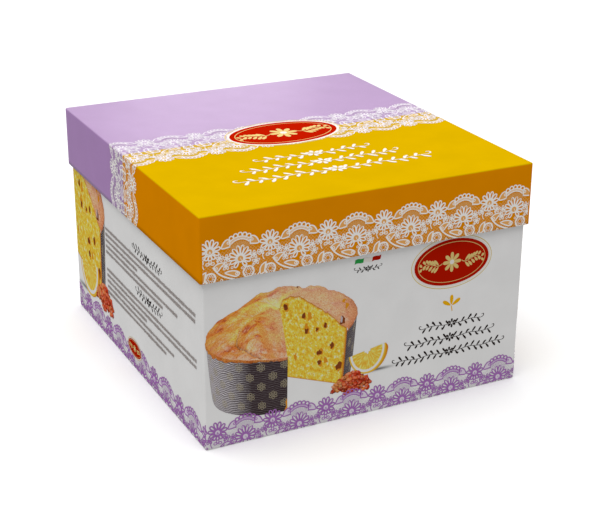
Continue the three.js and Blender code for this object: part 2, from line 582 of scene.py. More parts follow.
def arch(sheet, x=0, y=13.5):
    """A fan of fine threads and knots inside five loops on a double band, a leaf at each foot."""
    thread, edge = 0.34, 0.8
    for angle in range(-54, 55, 12):
        sheet.stroke([at_angle(x, y, reach, angle) for reach in (3.0, 8.4)], thread, HALF_TONE)
    for radius in (5.3, 7.0):
        sheet.stroke(arc(x, y, radius, -62, 62, 18), thread, HALF_TONE)
    for angle in range(-48, 49, 12):
        sheet.ring(*at_angle(x, y, 6.1, angle), 0.42, 0.35, HALF_TONE, 8)
    sheet.patch(arc(x, y, 10.2, -44, 44, 16) + arc(x, y, 8.5, 44, -44, 16), HALF_TONE)
    for radius, width in ((10.2, edge), (9.35, 0.3), (8.5, edge)):
        sheet.stroke(arc(x, y, radius, -45, 45, 18), width, LACE)
    for angle in (-31, -15.5, 0, 15.5, 31):
        loop = arc(*at_angle(x, y, 11.35, angle), 1.35, angle - 125, angle + 125, 12)
        sheet.stroke(loop, 0.82, LACE)
    foot = (
        (12.6, 9.3), (11.9, 6.4), (10.2, 4.2), (8.2, 4.1), (7.2, 4.4), (6.7, 5.4), (6.6, 7.2),
        (6.9, 8.2), (6.8, 8.8), (6.6, 9.2), (8.2, 8.8), (10.6, 10.2), (12.6, 9.3),
    )
    for side in (-1, 1):
        leaf(sheet, curve(*((side * u, v) for u, v in foot), steps=6), (side * 7.9, 6.4))


def flowers(sheet):
    """One large flower under the arch and one between arches, then florets, buds and stalks."""
    blossom(sheet, 0, 17.8, (-144, -108, -84, -60, -36, -12, 12, 36, 60, 84, 108, 144), 8.7, 2.3)
    blossom(sheet, 20, 10.2, (-150, -112, -76, -44, -14, 14, 44, 76, 112, 150, 180), 7.8, 2.2)
    for x, y in ((-9.0, 16.3), (9.2, 16.6), (14.0, 15.2), (-13.8, 15.4), (10.4, 21.0), (-9.6, 21.2)):
        floret(sheet, x, y)
    for angle in (-75, 0, 75):
        sheet.petal(20, 18.6, angle, 0.5, 2.9, 2.2, 0.55, LACE, HALF_TONE)
    for side in (-1, 1):
        stalk = curve(*((20 + side * x, y) for x, y in ((3, 14), (5, 15), (6, 18), (4, 21))))
        sheet.stroke(stalk, 0.6)


def lower_ground(sheet):
    """Sweeping stems, curled leaves, pierced wheels and loose rings."""
    sheet.stroke(curve((-18.2, 20.6), (-15.6, 25.4), (-12.0, 28.6), (-1.5, 31.5), steps=14), 1.0)
    sheet.stroke(curve((18.2, 24.5), (15.2, 26.0), (12.4, 28.6), (10.6, 32.0), steps=14), 0.8)
    for eye, steps, *outline in (
        ((-16.0, 21.8), 6, (-17.4, 20.4), (-15.4, 18.4), (-12.2, 18.0), (-10.2, 19.2), (-12.0, 20.2),
         (-13.5, 21.8), (-14.4, 23.2), (-15.8, 24.4), (-17.6, 23.0), (-17.4, 20.4)),
        ((-2.6, 27.2), 6, (-10.6, 25.6), (-8.0, 24.4), (-3.0, 24.4), (-0.6, 27.0), (-1.0, 29.2),
         (-3.6, 29.4), (-5.0, 28.4), (-7.0, 27.6), (-9.0, 26.6), (-10.6, 25.6)),
        ((14.6, 28.4), 8, (13.4, 30.6), (12.2, 27.0), (13.6, 23.6), (17.4, 23.0), (16.4, 25.2),
         (16.6, 27.8), (15.6, 30.6)),
    ):
        leaf(sheet, curve(*outline, steps=steps), eye)
    for x, y, radius in ((20.0, 27.8, 3.5), (5.4, 27.2, 3.6)):
        sheet.ring(x, y, radius, 0.95, LACE, 20)
        for angle in range(0, 360, 60):
            sheet.ring(*at_angle(x, y, radius * 0.62, angle), radius * 0.22, 0.4, LACE, 8)
    for x, y in ((1.2, 24.2), (3.0, 23.0), (8.6, 23.2), (-5.6, 22.8), (9.6, 30.2), (-12.6, 30.0)):
        sheet.ring(x, y, 0.7, 0.5, LACE, 8)


def lace_repeat(base):
    """One 40 mm repeat of the lace, 31 mm deep: x runs from -20 to 20 about an arch, and y runs
    down from the arch's highest loop."""
    sheet = Sheet(base)
    for part in (ground_net, arch, flowers, lower_ground):
        part(sheet)
    return sheet


# ---------------------------------------------------------------------------------------------
# Ornaments: plain medallion, vines, sprigs, ribbon and broken rules
# ---------------------------------------------------------------------------------------------

PLAIN, GROUND, GOLD, GREEN, YELLOW, GREY = range(6)


def oval(x, y, across, down, steps=48):
    """Points round an oval, given half its width and half its height."""
    return [(x + across * math.cos(t), y + down * math.sin(t)) for t in full_turn(steps)]


def medallion(sheet, x, y, across, down):
    """A red oval inside a white margin and a gold line, with a gold spray on each side of a flower."""
    margin = 0.075 * across
    sheet.marks = 0
    sheet.stroke(oval(x, y, across + margin, down + margin), 0.02 * across, GOLD, closed=True)
    sheet.disc(oval(x, y, across + 0.6 * margin, down + 0.6 * margin), PLAIN)
    sheet.disc(oval(x, y, across, down), GROUND)
    sheet.stroke(oval(x, y, 0.9 * across, 0.86 * down), 0.014 * across, GOLD, closed=True)
    size = 0.34 * down
    for angle in range(0, 360, 45):
        sheet.petal(x, y, angle, 0.2 * size, 1.25 * size, 0.5 * size, 0.08 * size, GOLD, GOLD)
    sheet.patch(oval(x, y, 0.3 * size, 0.3 * size, 16), PLAIN)
    for side in (-1, 1):
        waves = ((0.26, 0.0), (0.42, 1.6), (0.58, -1.8), (0.78, 0.2))
        stem = curve(*((x + side * t * across, y + 0.16 * down * rise) for t, rise in waves), steps=12)
        sheet.stroke(stem, 0.018 * across, GOLD)
        for i, (leaf_x, leaf_y) in enumerate(stem[2::2]):
            for lean in (-1, 1):
                length = (0.36 - 0.03 * i) * down
                angle = side * (90 - lean * 48)
                sheet.petal(leaf_x, leaf_y, angle, 0.05 * down, length, 0.13 * down, 0.15, GOLD, GOLD)


def garland(sheet, x, y, width, height, ink, rng):
    """A leafy garland in one ink, mirrored about a small flower at (x, y): slender leaves of uneven
    length on a wavy stem, a berry in every third gap and a curl at each end."""
    half = width / 2
    count = round(half / (0.34 * height))
    lengths = [rng.uniform(0.42, 0.68) * height for i in range(count)]
    for side in (-1, 1):
        stem = []
        for i in range(4 * count + 1):
            along = i / 4 * half / count
            stem.append((x + side * along, y + 0.07 * height * math.sin(2.2 * along / height)))
        sheet.stroke(stem[2:], 0.05 * height, ink)
        for i in range(1, count):
            up = 1 if i % 2 else -1
            foot = stem[4 * i]
            angle = side * (90 - up * 52)
            sheet.petal(*foot, angle, 0.02 * height, lengths[i], 0.2 * height, 0.03 * height, ink, ink)
            if i % 3 == 0:
                berry = 0.07 * height
                sheet.patch(oval(foot[0], foot[1] + up * 0.3 * height, berry, berry, 10), ink)
        end_x, end_y = stem[-1]
        bends = ((0.0, 0.0), (0.5, 0.0), (0.45, -0.5), (0.12, -0.3))
        curl = curve(*((end_x + side * over * height, end_y + rise * height) for over, rise in bends))
        sheet.stroke(curl, 0.09 * height, ink, taper=True)
    for angle in range(0, 360, 60):
        sheet.petal(x, y, angle, 0.1 * height, 0.46 * height, 0.24 * height, 0.03 * height, ink, ink)


def sprig(sheet, x, y, size, ink):
    """Three leaves on a short stalk."""
    for angle in (-58, 0, 58):
        sheet.petal(x, y, angle, 0.1 * size, size, 0.42 * size, 0.1, ink, ink)
    sheet.stroke([(x, y), (x + 0.1 * size, y + 0.5 * size)], 0.08 * size, ink)


def ribbon(sheet, x, y, width):
    """A short waved ribbon in green, white and red, each third between two heights of its edge."""
    third = width / 3
    for i, ink, left, right in ((0, GREEN, 0.6, 0.1), (1, PLAIN, 0.1, 0.5), (2, GROUND, 0.5, -0.4)):
        wave = ((0, left), (0.4, -0.9), (0.6, 1.0), (1, right))
        upper = curve(*((x + (i + share) * third, y + drop) for share, drop in wave))
        lower = [(px - 0.075 * third, py + 2.9) for px, py in reversed(upper)]
        sheet.patch(upper + lower, ink)


def broken_rules(sheet, x, far, lines, rng, ink):
    """Thin rules broken into dashes: each line is its height on the panel and its right end."""
    for y, end in lines:
        at = x
        while at < min(end, far):
            length = min(rng.uniform(1.6, 5.5), end - at)
            sheet.stroke([(at, y), (at + length, y)], rng.uniform(1.8, 2.5), ink)
            at += length + rng.uniform(0.5, 0.9)


# ---------------------------------------------------------------------------------------------
# The cake picture: a cut cake, an orange wedge and raisins, modelled in the round, shaded and then
# pressed flat onto the panel. Picture space is in millimetres: x right, y away, z up, with the
# cake's axis at x = y = 0 and the table at z = 0.
# ---------------------------------------------------------------------------------------------

PICTURE_TILT = math.radians(23.5)
TOWARDS_VIEWER = np.array((0.0, -math.cos(PICTURE_TILT), math.sin(PICTURE_TILT)))
PICTURE_LIGHT = np.array((-0.42, -0.38, 0.82))
PICTURE_FILL = np.array((0.72, -0.45, 0.53))
CAKE_RIM, CAKE_FOOT, MOULD_TOP, CAKE_TOP = 53.0, 49.0, 43.0, 58.3
CUT_APEX = np.array((-3.5, 17.8))
CUT_RUN = np.array((0.745, -0.667))  # direction of the cut that faces the viewer
NEAR_CUT = np.array((0.094, -0.996))  # direction of the cut seen edge-on
# Splits in the crust, from the crown to the rim, as x and y in picture space.
SPLITS = (
    ((-3, 17), (-11, 19), (-20, 9), (-30, -11), (-32, -25), (-27, -36), (-21, -44), (-16, -50)),
    ((-3, 17), (-14, 27), (-24, 32), (-33, 41)),
    ((-3, 17), (6, 30), (20, 42), (30, 48)),
)
# Shallow dents that fold the crust between the splits.
DENTS = (((-50, -14), (-45, -26), (-38, -27), (-32, -24)), ((-15, -14), (-11, -33), (-5, -50)))


def seen_flat(points):
    """How far right and how far down each point is seen, from the viewer's height."""
    across, back, up = points.T
    return across, -(back * math.sin(PICTURE_TILT) + up * math.cos(PICTURE_TILT))


class Model:
    """A shaded surface in picture space: points, faces and per-point values for the inks."""

    def __init__(self, points, faces, **values):
        self.points = np.array(points, float)
        self.faces = [list(face) for face in faces]
        self.values = values

    def normals(self):
        """Area-weighted normals at the points, and each face's own."""
        corners = np.array([(*face, face[0])[:4] for face in self.faces])
        a, b, c, d = (self.points[corners[:, i]] for i in range(4))
        across = np.cross(c - a, d - b)
        flat = np.cross(b - a, c - a)
        own = np.where(np.linalg.norm(across, axis=1, keepdims=True) > 1e-9, across, flat)
        total = np.zeros_like(self.points)
        for i in range(4):
            np.add.at(total, corners[:, i], own)
        return unit(total), unit(own)

    def shaded(self, gloss=24):
        """Adds light and gleam, and drops the faces that look away from the viewer."""
        at_points, at_faces = self.normals()
        light = unit(PICTURE_LIGHT[None])[0]
        half = unit((light + TOWARDS_VIEWER)[None])[0]
        direct = 0.72 * np.clip(at_points @ light, 0, 1) + 0.3 * np.clip(at_points @ PICTURE_FILL, 0, 1)
        self.values["light"] = direct + 0.1 * (1 + at_points[:, 2])
        self.values["gleam"] = np.clip(at_points @ half, 0, 1) ** gloss
        seen = at_faces @ TOWARDS_VIEWER > 0.02
        self.faces = [face for face, kept in zip(self.faces, seen) if kept]
        return self

    def pressed(self, place, scale, low, high):
        """Flat ink: x right and y down on the panel, with depth kept as lift from low to high.
        place is where the cake's axis meets the table."""
        across, down = seen_flat(self.points)
        share = np.clip((self.points @ TOWARDS_VIEWER + 60) / 130, 0, 1)
        flat = columns_of(place[0] + scale * across, place[1] + scale * down, low + (high - low) * share)
        return flat, self.faces, [0] * len(self.faces)


def joined(models):
    """Several models as one."""
    faces, start = [], 0
    for model in models:
        faces += [[v + start for v in face] for face in model.faces]
        start += len(model.points)
    values = {key: np.concatenate([model.values[key] for model in models]) for key in models[0].values}
    return Model(np.vstack([model.points for model in models]), faces, **values)


def grid_faces(rows, columns, around=False):
    """Quads between rows and columns of points, closed round if around."""
    faces = []
    for start in range(0, (rows - 1) * columns, columns):
        for j in range(columns if around else columns - 1):
            k = (j + 1) % columns
            faces.append((start + j, start + columns + j, start + columns + k, start + k))
    return faces


def rough(points, size, seed=0.0, octaves=4):
    """Smooth fractal noise about zero, with features of the given size."""
    shift = Vector((seed, seed, seed))
    return np.array([noise.fractal(Vector(p) / size + shift, 0.6, 2.0, octaves) for p in points])


def near_path(points, path):
    """Distance in plan from each point to a smooth path, and how far along it, from 0 to 1."""
    knots = np.array(path, float)
    steps = np.linspace(0, len(knots) - 1, 60)
    route = np.column_stack([smooth_through(knots[:, i], steps) for i in range(2)])
    gaps = np.linalg.norm(points[:, None, :2] - route[None], axis=2)
    return gaps.min(1), gaps.argmin(1) / (len(route) - 1)


def smooth_through(values, steps):
    """A Catmull-Rom curve through values, read at steps."""
    padded = np.concatenate(([2 * values[0] - values[1]], values, [2 * values[-1] - values[-2]]))
    index = np.clip(steps.astype(int), 0, len(values) - 2)
    t = steps - index
    p0, p1, p2, p3 = (padded[index + k] for k in range(4))
    bend, twist = 2 * p0 - 5 * p1 + 4 * p2 - p3, 3 * p1 - p0 - 3 * p2 + p3
    return 0.5 * (2 * p1 + (p2 - p0) * t + bend * t**2 + twist * t**3)


def crust_height(radius, bump):
    """Height above the table, at a distance from the axis, of a smooth dome plus its bumps, which
    die away at the rim."""
    share = np.clip(radius / (CAKE_RIM + 1), 0, 1)
    dome = MOULD_TOP + 1.5 + (CAKE_TOP - MOULD_TOP - 1.5) * (1 - share**2.4) ** 0.62
    return dome + bump * np.clip((CAKE_RIM + 2 - radius) / 7, 0.12, 1)


def off_cut(points, run):
    """How far each point lies to the left of a cut that runs from the slice's apex, and how far
    along it."""
    away = points[:, :2] - CUT_APEX
    return run[0] * away[:, 1] - run[1] * away[:, 0], away @ run


def in_slice(points):
    """Whether each point lies in the slice that is cut away."""
    return (off_cut(points, NEAR_CUT)[0] > 0) & (off_cut(points, CUT_RUN)[0] < 0)


def without_slice(model):
    """The model cut cleanly along both faces of the slice."""
    mesh = bpy.data.meshes.new("cut")
    mesh.from_pydata(model.points.tolist(), [], model.faces)
    store(mesh, model.values)
    body = bmesh.new()
    body.from_mesh(mesh)
    for run in (NEAR_CUT, CUT_RUN):
        everything = body.verts[:] + body.edges[:] + body.faces[:]
        plane = {"plane_co": (*CUT_APEX, 0), "plane_no": (-run[1], run[0], 0)}
        bmesh.ops.bisect_plane(body, geom=everything, **plane)
    centres = np.array([face.calc_center_median() for face in body.faces])
    gone = [face for face, out in zip(body.faces, in_slice(centres)) if out]
    bmesh.ops.delete(body, geom=gone, context="FACES")
    body.to_mesh(mesh)
    body.free()
    values = {key: stored(mesh, key) for key in model.values}
    cut = Model([v.co for v in mesh.vertices], [p.vertices for p in mesh.polygons], **values)
    bpy.data.meshes.remove(mesh)
    return cut


def sunk_at_cut(points):
    """How far the crust has sunk beside the two faces of the slice."""
    off_far, along_far = off_cut(points, CUT_RUN)
    off_near, along_near = off_cut(points, NEAR_CUT)
    far = 3.2 * np.exp(-((off_far / 11) ** 2)) * np.clip(along_far / 30, 0, 1)
    near = 12.0 * np.exp(-((off_near / 14) ** 2)) * np.clip(0.4 + along_near / 30, 0, 1)
    return np.maximum(far, near * np.clip((3 - off_near) / 2, 0, 1))


def crust_swell(points):
    """How the crust stands off the smooth dome at each point: lobes that swell between the splits,
    folds drawn out towards the rim, and small blisters. Also gives how near a split is, and how
    pale the torn dough beside it."""
    gap = np.full(len(points), 99.0)
    along = np.zeros(len(points))
    for path in SPLITS:
        distance, share = near_path(points, path)
        along = np.where(distance < gap, share, along)
        gap = np.minimum(gap, distance)
    radius = np.hypot(points[:, 0], points[:, 1])
    turns = np.arctan2(points[:, 1], points[:, 0])
    split = np.exp(-((gap / 0.9) ** 2)) * np.clip(0.35 + along, 0, 1)
    dent = np.min([near_path(points, path)[0] for path in DENTS], axis=0)
    lobe = (1 - np.exp(-((gap / 9.0) ** 1.6))) * (1 - 0.3 * np.exp(-((dent / 3.0) ** 2)))
    folds = np.column_stack((np.cos(turns) * 6, np.sin(turns) * 6, radius * 0.03))
    bump = (
        7.4 * lobe * (1.05 - 0.7 * radius / CAKE_RIM)
        - 2.6 * split
        - sunk_at_cut(points)
        - 2.2 * np.clip(-points[:, 0] / CAKE_RIM, 0, 1)
        - 3.0 * np.clip((np.abs(points[:, 0]) - 18) / 20, 0, 1)
        + 1.3 * rough(points, 15, 3.1)
        + 1.0 * rough(folds, 1.1, 7.7) * np.clip(radius / CAKE_RIM, 0, 1) ** 2
        + 0.25 * rough(points, 2.0, 1.3)
    )
    pale = np.exp(-((gap / 5.0) ** 2)) * np.clip(1.1 - along * 1.6, 0, 1)
    pale = np.maximum(pale, np.exp(-((gap / 1.6) ** 2)) * 0.35)
    return bump, split, pale


def crust_model():
    """The domed crust, which hangs a little over the mould's rim, most at the left."""
    rows, columns = 110, 460
    tilts, turns = every(np.linspace(0.0005, math.radians(104), rows), full_turn(columns))
    radius = (CAKE_RIM + 0.6) * np.sin(np.minimum(tilts, math.pi / 2)) ** 0.92
    plan = polar(radius, turns)
    bump, split, pale = crust_swell(plan)
    over = np.clip(tilts - math.pi / 2, 0, None)
    droop = 9 + 10 * np.clip(-np.cos(turns), 0, 1) ** 3
    height = crust_height(radius, bump) - droop * np.sin(over) * (1 + 0.3 * rough(plan, 5.0, 4.4))
    out = 1 + 0.012 * rough(plan, 9.0, 2.2) - 0.25 * over**2
    points = columns_of(plan[:, 0] * out, plan[:, 1] * out, height)
    rest = columns_of(plan[:, 0], plan[:, 1], height)
    crust = Model(points, grid_faces(rows, columns, around=True), split=split, pale=pale, rest=rest)
    crust = without_slice(crust).shaded(gloss=10)
    # The overhang faces away from the light, but catches what comes off the table.
    crust.values["light"] += 0.4 * np.clip((MOULD_TOP + 4.5 - crust.values["rest"][:, 2]) / 5, 0, 1)
    return crust


def crumb_model():
    """The cut face: an open yellow crumb, browner towards the crust and the foot."""
    rows, columns, far_end = 100, 120, 66.3
    along, up = every(np.linspace(0, far_end, rows), np.linspace(0, 1, columns))
    plan = CUT_APEX + along[:, None] * CUT_RUN
    radius = np.linalg.norm(plan, axis=1)
    top = crust_height(radius, crust_swell(np.column_stack((plan, 0 * along)))[0])
    foot = (np.clip(radius - CAKE_FOOT, 0, None) / (CAKE_RIM - CAKE_FOOT)) ** (1 / 0.7) * MOULD_TOP
    height = foot + (top - foot) * up
    side = (CAKE_FOOT + (CAKE_RIM - CAKE_FOOT) * height / MOULD_TOP - radius) * 0.8
    depth = np.minimum.reduce((top - height, np.maximum(side, 0), height * 1.3 + 0.4))
    values = {"edge": np.exp(-depth / 1.5), "rest": columns_of(along, height, 0.0)}
    return Model(np.column_stack((plan, height)), grid_faces(rows, columns), **values).shaded()


def mould_model():
    """The paper mould round the cake, with the slice cut out of it. rest is the distance round the
    mould and up it."""
    rows, columns = 30, 300
    ups, turns = every(np.linspace(0, 1, rows), full_turn(columns))
    rest = columns_of(turns * CAKE_RIM, ups * MOULD_TOP, 0.0)
    faces = [face[::-1] for face in grid_faces(rows, columns, around=True)]
    return without_slice(Model(on_mould(turns, ups * MOULD_TOP), faces, rest=rest)).shaded(gloss=10)


def on_mould(turns, heights):
    """Points of the mould's outside: turns in radians from +x, heights above the table."""
    return polar(CAKE_FOOT + (CAKE_RIM - CAKE_FOOT) * (heights / MOULD_TOP) ** 0.7, turns, heights)


def pebble(centre, radii, spin, seed):
    """A small wrinkled blob, such as a raisin."""
    rows, columns, wrinkle, pole = 9, 12, 0.3, 0.05
    tilts, turns = every(np.linspace(pole, math.pi - pole, rows), full_turn(columns))
    ball = polar(np.sin(tilts), turns, np.cos(tilts))
    shape = ball * (1 + wrinkle * rough(ball, 0.5, seed, 3))[:, None] * np.array(radii)
    turned = np.array(Matrix.Rotation(spin, 3, "Z") @ Matrix.Rotation(seed, 3, "X"))
    points = shape @ turned.T + np.array(centre)
    tone = np.full(len(points), (seed * 7.13) % 1.0)
    return Model(points, grid_faces(rows, columns, around=True), tone=tone, rest=points.copy())


def raisins_model(rng):
    """A low heap of raisins about 30 mm across, standing on the table about the origin."""
    heap = []
    for _ in range(130):
        angle, reach = rng.uniform(0, 2 * math.pi), math.sqrt(rng.random())
        level = (1 - reach**2.6) * 12.5 * rng.uniform(0.3, 1.0)
        centre = (reach * 14.0 * math.cos(angle), reach * 9 * math.sin(angle), 1.2 + level)
        radii = (rng.uniform(2.2, 3.3), rng.uniform(1.3, 2.0), rng.uniform(1.2, 1.7))
        heap.append(pebble(centre, radii, rng.uniform(0, math.pi), rng.uniform(0, 9)))
    model = joined(heap).shaded(gloss=18)
    depth = np.clip((model.points @ TOWARDS_VIEWER + 8) / 14, 0, 1)
    model.values["light"] *= 0.25 + 0.85 * depth
    return model


def orange_model():
    """A wedge of orange on the table about the origin: its cut face in polar steps, and the peel
    that curves away behind it. rest holds the distance from the fruit's core, the turn round it and
    how far round the peel."""
    radius, rows, columns = 15.8, 24, 60
    facing = unit(np.array([(-0.48, -0.76, 0.42)]))[0]
    edge = np.array((1.0, 0.0, 0.12))
    edge = unit((edge - edge @ facing * facing)[None])[0]
    down = np.cross(edge, facing)
    down *= -1.1 * np.sign(down[2])
    core = np.array((0.0, 0.0, 16.5))
    half_turn = np.linspace(0, math.pi, columns)

    def part(from_core, turns, leans):
        """One skin of the wedge, turned outwards; a lean of nothing lies in the cut face."""
        below = np.cos(leans)[:, None] * down - np.sin(leans)[:, None] * facing
        spread = -np.cos(turns)[:, None] * edge + np.sin(turns)[:, None] * below
        points = core + from_core[:, None] * spread
        skin = Model(points, grid_faces(rows, columns), rest=columns_of(from_core, turns, leans))
        outward = spread[[face[0] for face in skin.faces]] if leans.any() else facing
        inward = np.sum(skin.normals()[1] * outward, axis=1) < 0
        skin.faces = [face[::-1] if flip else face for face, flip in zip(skin.faces, inward)]
        return skin.shaded(gloss=30)

    reaches, turns = every(np.linspace(0.02, radius, rows), half_turn)
    notch = 2.3 + 0.5 * np.sin(turns * 5)
    flesh = part(np.maximum(reaches, notch), turns, 0 * turns)
    leans, turns = every(np.linspace(0, math.radians(70), rows), half_turn)
    return joined([flesh, part(np.full(len(turns), radius), turns, leans)])


DARK, OCHRE, GLINT, ROSETTE = range(4)


def blot(sheet, x, y, radius, seed, ink, squash=1.3):
    """A small uneven blot."""
    outline = []
    for turn in full_turn(14):
        reach = radius * (1 + 0.8 * noise.noise(Vector((math.cos(turn), math.sin(turn), seed)) * 1.4))
        outline.append((x + reach * math.cos(turn), y + squash * reach * math.sin(turn)))
    sheet.patch(outline, ink)


def picture_details(place, scale):
    """Raisins and peel in the crumb, a raisin with a glint on the crust, and the mould's printed
    rosettes, laid flat for a cake whose foot stands at place."""
    crumb = Sheet(0.057)
    crumb.LAYER = 0.0002
    raisins = (
        (2.0, -54.6, 1.5), (14.3, -45.4, 1.4), (16.6, -35.2, 1.6), (24.0, -34.2, 1.1), (30.0, -36.0, 1.3),
        (26.0, -17.6, 1.7), (35.0, -20.6, 1.3), (26.0, -10.2, 1.3), (40.4, -4.8, 2.1),
    )
    for i, (x, y, radius) in enumerate(raisins):
        blot(crumb, x + 0.3, y + 0.3, radius * 1.3, i * 2.3, OCHRE)
        blot(crumb, x, y, radius, i * 1.7 + 0.4, DARK)
    peels = ((18.5, -44.9, 1.6), (16.4, -38.5, 1.2), (30.5, -11.2, 1.2), (8.6, -18.2, 1.1))
    for i, (x, y, radius) in enumerate(peels):
        blot(crumb, x, y, radius, i * 3.1 + 40, OCHRE, 2.2)
    crust = Sheet(0.1125)
    blot(crust, 42.6, -36.6, 1.7, 5.0, DARK, 2.0)
    blot(crust, 41.8, -37.6, 0.9, 7.0, GLINT, 2.3)
    crust.patch([(2.9, 10.5), (3.0, 19.0), (0.6, 19.6), (2.2, 16.0), (1.6, 13.0)], OCHRE)
    blot(crust, 43.0, -51.0, 1.2, 3.0, OCHRE)
    blot(crust, 10.0, -66.6, 0.8, 4.0, DARK, 0.6)
    blot(crust, 45.5, -47.0, 1.3, 6.0, OCHRE)
    points, faces, inks = [], [], []
    for sheet in (crumb, crust, mould_rosettes()):
        faces += [[v + len(points) for v in face] for face in sheet.faces]
        points += sheet.points
        inks += sheet.inks
    return np.array(points) * (scale, scale, 1) + (*place, 0), faces, inks


def mould_rosettes():
    """Small rosettes in staggered rows round the mould, seen as the mould curves away."""
    flat, drawn = Sheet(0.0), Sheet(0.0)
    for row in range(5):
        for column in range(-4, 8):
            x, y = 17.3 * (column + row % 2 / 2) - 16.2, 7.75 * (row + 1)
            for angle in range(0, 360, 60):
                flat.ring(*at_angle(x, y, 2.3, angle), 0.95, 0.34, ROSETTE, 8)
            flat.ring(x, y, 0.8, 0.34, ROSETTE, 8)
    points = np.array(flat.points)
    turns = points[:, 0] / CAKE_RIM - math.pi * 0.5
    round_mould = on_mould(turns, np.clip(points[:, 1], 0, MOULD_TOP))
    kept = ~in_slice(round_mould) & (round_mould @ TOWARDS_VIEWER > 0)
    kept &= (np.sin(turns) < -0.12) & (points[:, 1] < MOULD_TOP)
    drawn.points = columns_of(*seen_flat(round_mould), 0.0705 + points[:, 2] * 0.02).tolist()
    for face, ink in zip(flat.faces, flat.inks):
        if all(kept[face]):
            drawn.faces.append(face)
            drawn.inks.append(ink)
    return drawn


def shadow_model(x, y, across, along):
    """A soft oval shadow on the table: shade fades from the middle to nothing at the rim."""
    rows, columns = 12, 48
    reaches, turns = every(np.linspace(0.02, 1, rows), full_turn(columns))
    points = polar(reaches, turns) * (across, along, 1) + (x, y, 0)
    return Model(points, grid_faces(rows, columns, around=True), shade=(1 - reaches**1.2) ** 1.5)


# ---------------------------------------------------------------------------------------------
# Finishes
# ---------------------------------------------------------------------------------------------


def film_bump(material):
    """Laminating film over board: a faint orange peel about 1.2 mm across, and the soft ripple of
    the flutes showing through, drawn about 7 mm apart because their real 2.4 mm wouldn't show."""
    place = node(material, "TexCoord", out="Object")
    peel = node(material, "TexNoise", {"Vector": place, "Scale": 800.0, "Detail": 1.0})
    bands = {"Vector": place, "Scale": 65.0, "Distortion": 1.2, "Detail": 1.0}
    ripple = node(material, "TexWave", bands, out="Fac", bands_direction="DIAGONAL")
    heights = node(material, "Math", [ripple, 0.25, peel], operation="MULTIPLY_ADD")
    bump = node(material, "Bump", {"Height": heights, "Strength": 0.35, "Distance": 0.00002})
    matt = node(material, "MapRange", [peel, 0.0, 1.0, 0.27, 0.37])
    finish(material, Normal=bump, Roughness=matt)
    return place


def printed_board(name, ground, gloss=0.1):
    """Coated micro-flute board printed in solid inks under clear film: even colour with a very
    slight mottle, a soft sheen, and pale wear where the ink has cracked along the folds. ground
    makes the ink's colour output from the place on the carton."""
    material = surface(name, IOR=1.5, Specular_IOR_Level=gloss)
    place = film_bump(material)
    ink = ground(material, place)
    mottle = node(material, "TexNoise", {"Vector": place, "Scale": 45.0, "Detail": 4.0})
    shade = node(material, "MapRange", [mottle, 0.3, 0.7, 0.97, 1.03])
    tinted = node(material, "VectorMath", [ink, shade], operation="MULTIPLY")
    wear = node(material, "NewGeometry", out="Pointiness")
    grain = node(material, "TexNoise", {"Vector": place, "Scale": 420.0, "Detail": 3.0})
    worn = node(material, "Math", [wear, grain], operation="ADD")
    mask = node(material, "MapRange", [worn, 1.28, 1.38, 0.0, 0.5])
    pale = node(material, "Mix", {0: mask, 6: tinted, 7: "#E7E2DA"}, data_type="RGBA")
    return finish(material, Base_Color=pale)


def lit_top_shaded_skirt_ink(top, skirt, fold_height):
    """One ink in two tones of painted light and shade: a lighter one for the lid's lit top, and below the
    fold at fold_height a deeper one for the shaded skirt.
    """

    def ground(material, place):
        height = node(material, "SeparateXYZ", [place], out="Z")
        below = node(material, "Math", [height, fold_height], operation="LESS_THAN")
        return node(material, "Mix", {0: below, 6: top, 7: skirt}, data_type="RGBA")

    return ground


def white_ground(material, place):
    """Unprinted coated white, very slightly cool, with faint show-through of the grey pulp."""
    cloud = node(material, "TexNoise", {"Vector": place, "Scale": 18.0, "Detail": 3.0})
    white = bpy.context.scene.gift_box_print.white
    return node(material, "ValToRGB", [cloud], stops=[(0.3, [c * 0.99 for c in white]), (0.7, white)])


def board_liner():
    """The uncoated inside of the board: matt, off-white and flecked with pulp fibres."""
    material = surface("uncoated board liner", Roughness=0.85)
    place = node(material, "TexCoord", out="Object")
    fibre = node(material, "TexNoise", {"Vector": place, "Scale": 900.0, "Detail": 5.0})
    pulp = node(material, "ValToRGB", [fibre], stops=[(0.35, "#C9C2B4"), (0.6, "#DDD8CC")])
    bump = node(material, "Bump", {"Height": fibre, "Strength": 0.3, "Distance": 0.00005})
    return finish(material, Base_Color=pulp, Normal=bump)


def cut_edge():
    """The die-cut edge of micro-flute board: pale grey, mottled every 0.7 mm where layers end."""
    material = surface("cut edge of board", Roughness=0.9)
    place = node(material, "TexCoord", out="Object")
    layers = node(material, "TexNoise", {"Vector": place, "Scale": 1400.0, "Detail": 2.0})
    grey = node(material, "ValToRGB", [layers], stops=[(0.4, "#A79F92"), (0.62, "#D6D1C6")])
    return finish(material, Base_Color=grey)


def ink_film(name, colour):
    """A solid matt spot ink: even colour, over the faint peel of its board."""
    material = surface(name, Base_Color=colour, IOR=1.5, Specular_IOR_Level=0.0)
    film_bump(material)
    return material


def shaded_white(material, place):
    """Coated white with the soft grey half-tone of a printed shadow where shade is above nothing."""
    shade = node(material, "Attribute", out="Fac", attribute_name="shade")
    dim = node(material, "MapRange", [shade, 0.0, 1.0, 1.0, 0.12])
    return node(material, "VectorMath", [white_ground(material, place), dim], operation="MULTIPLY")


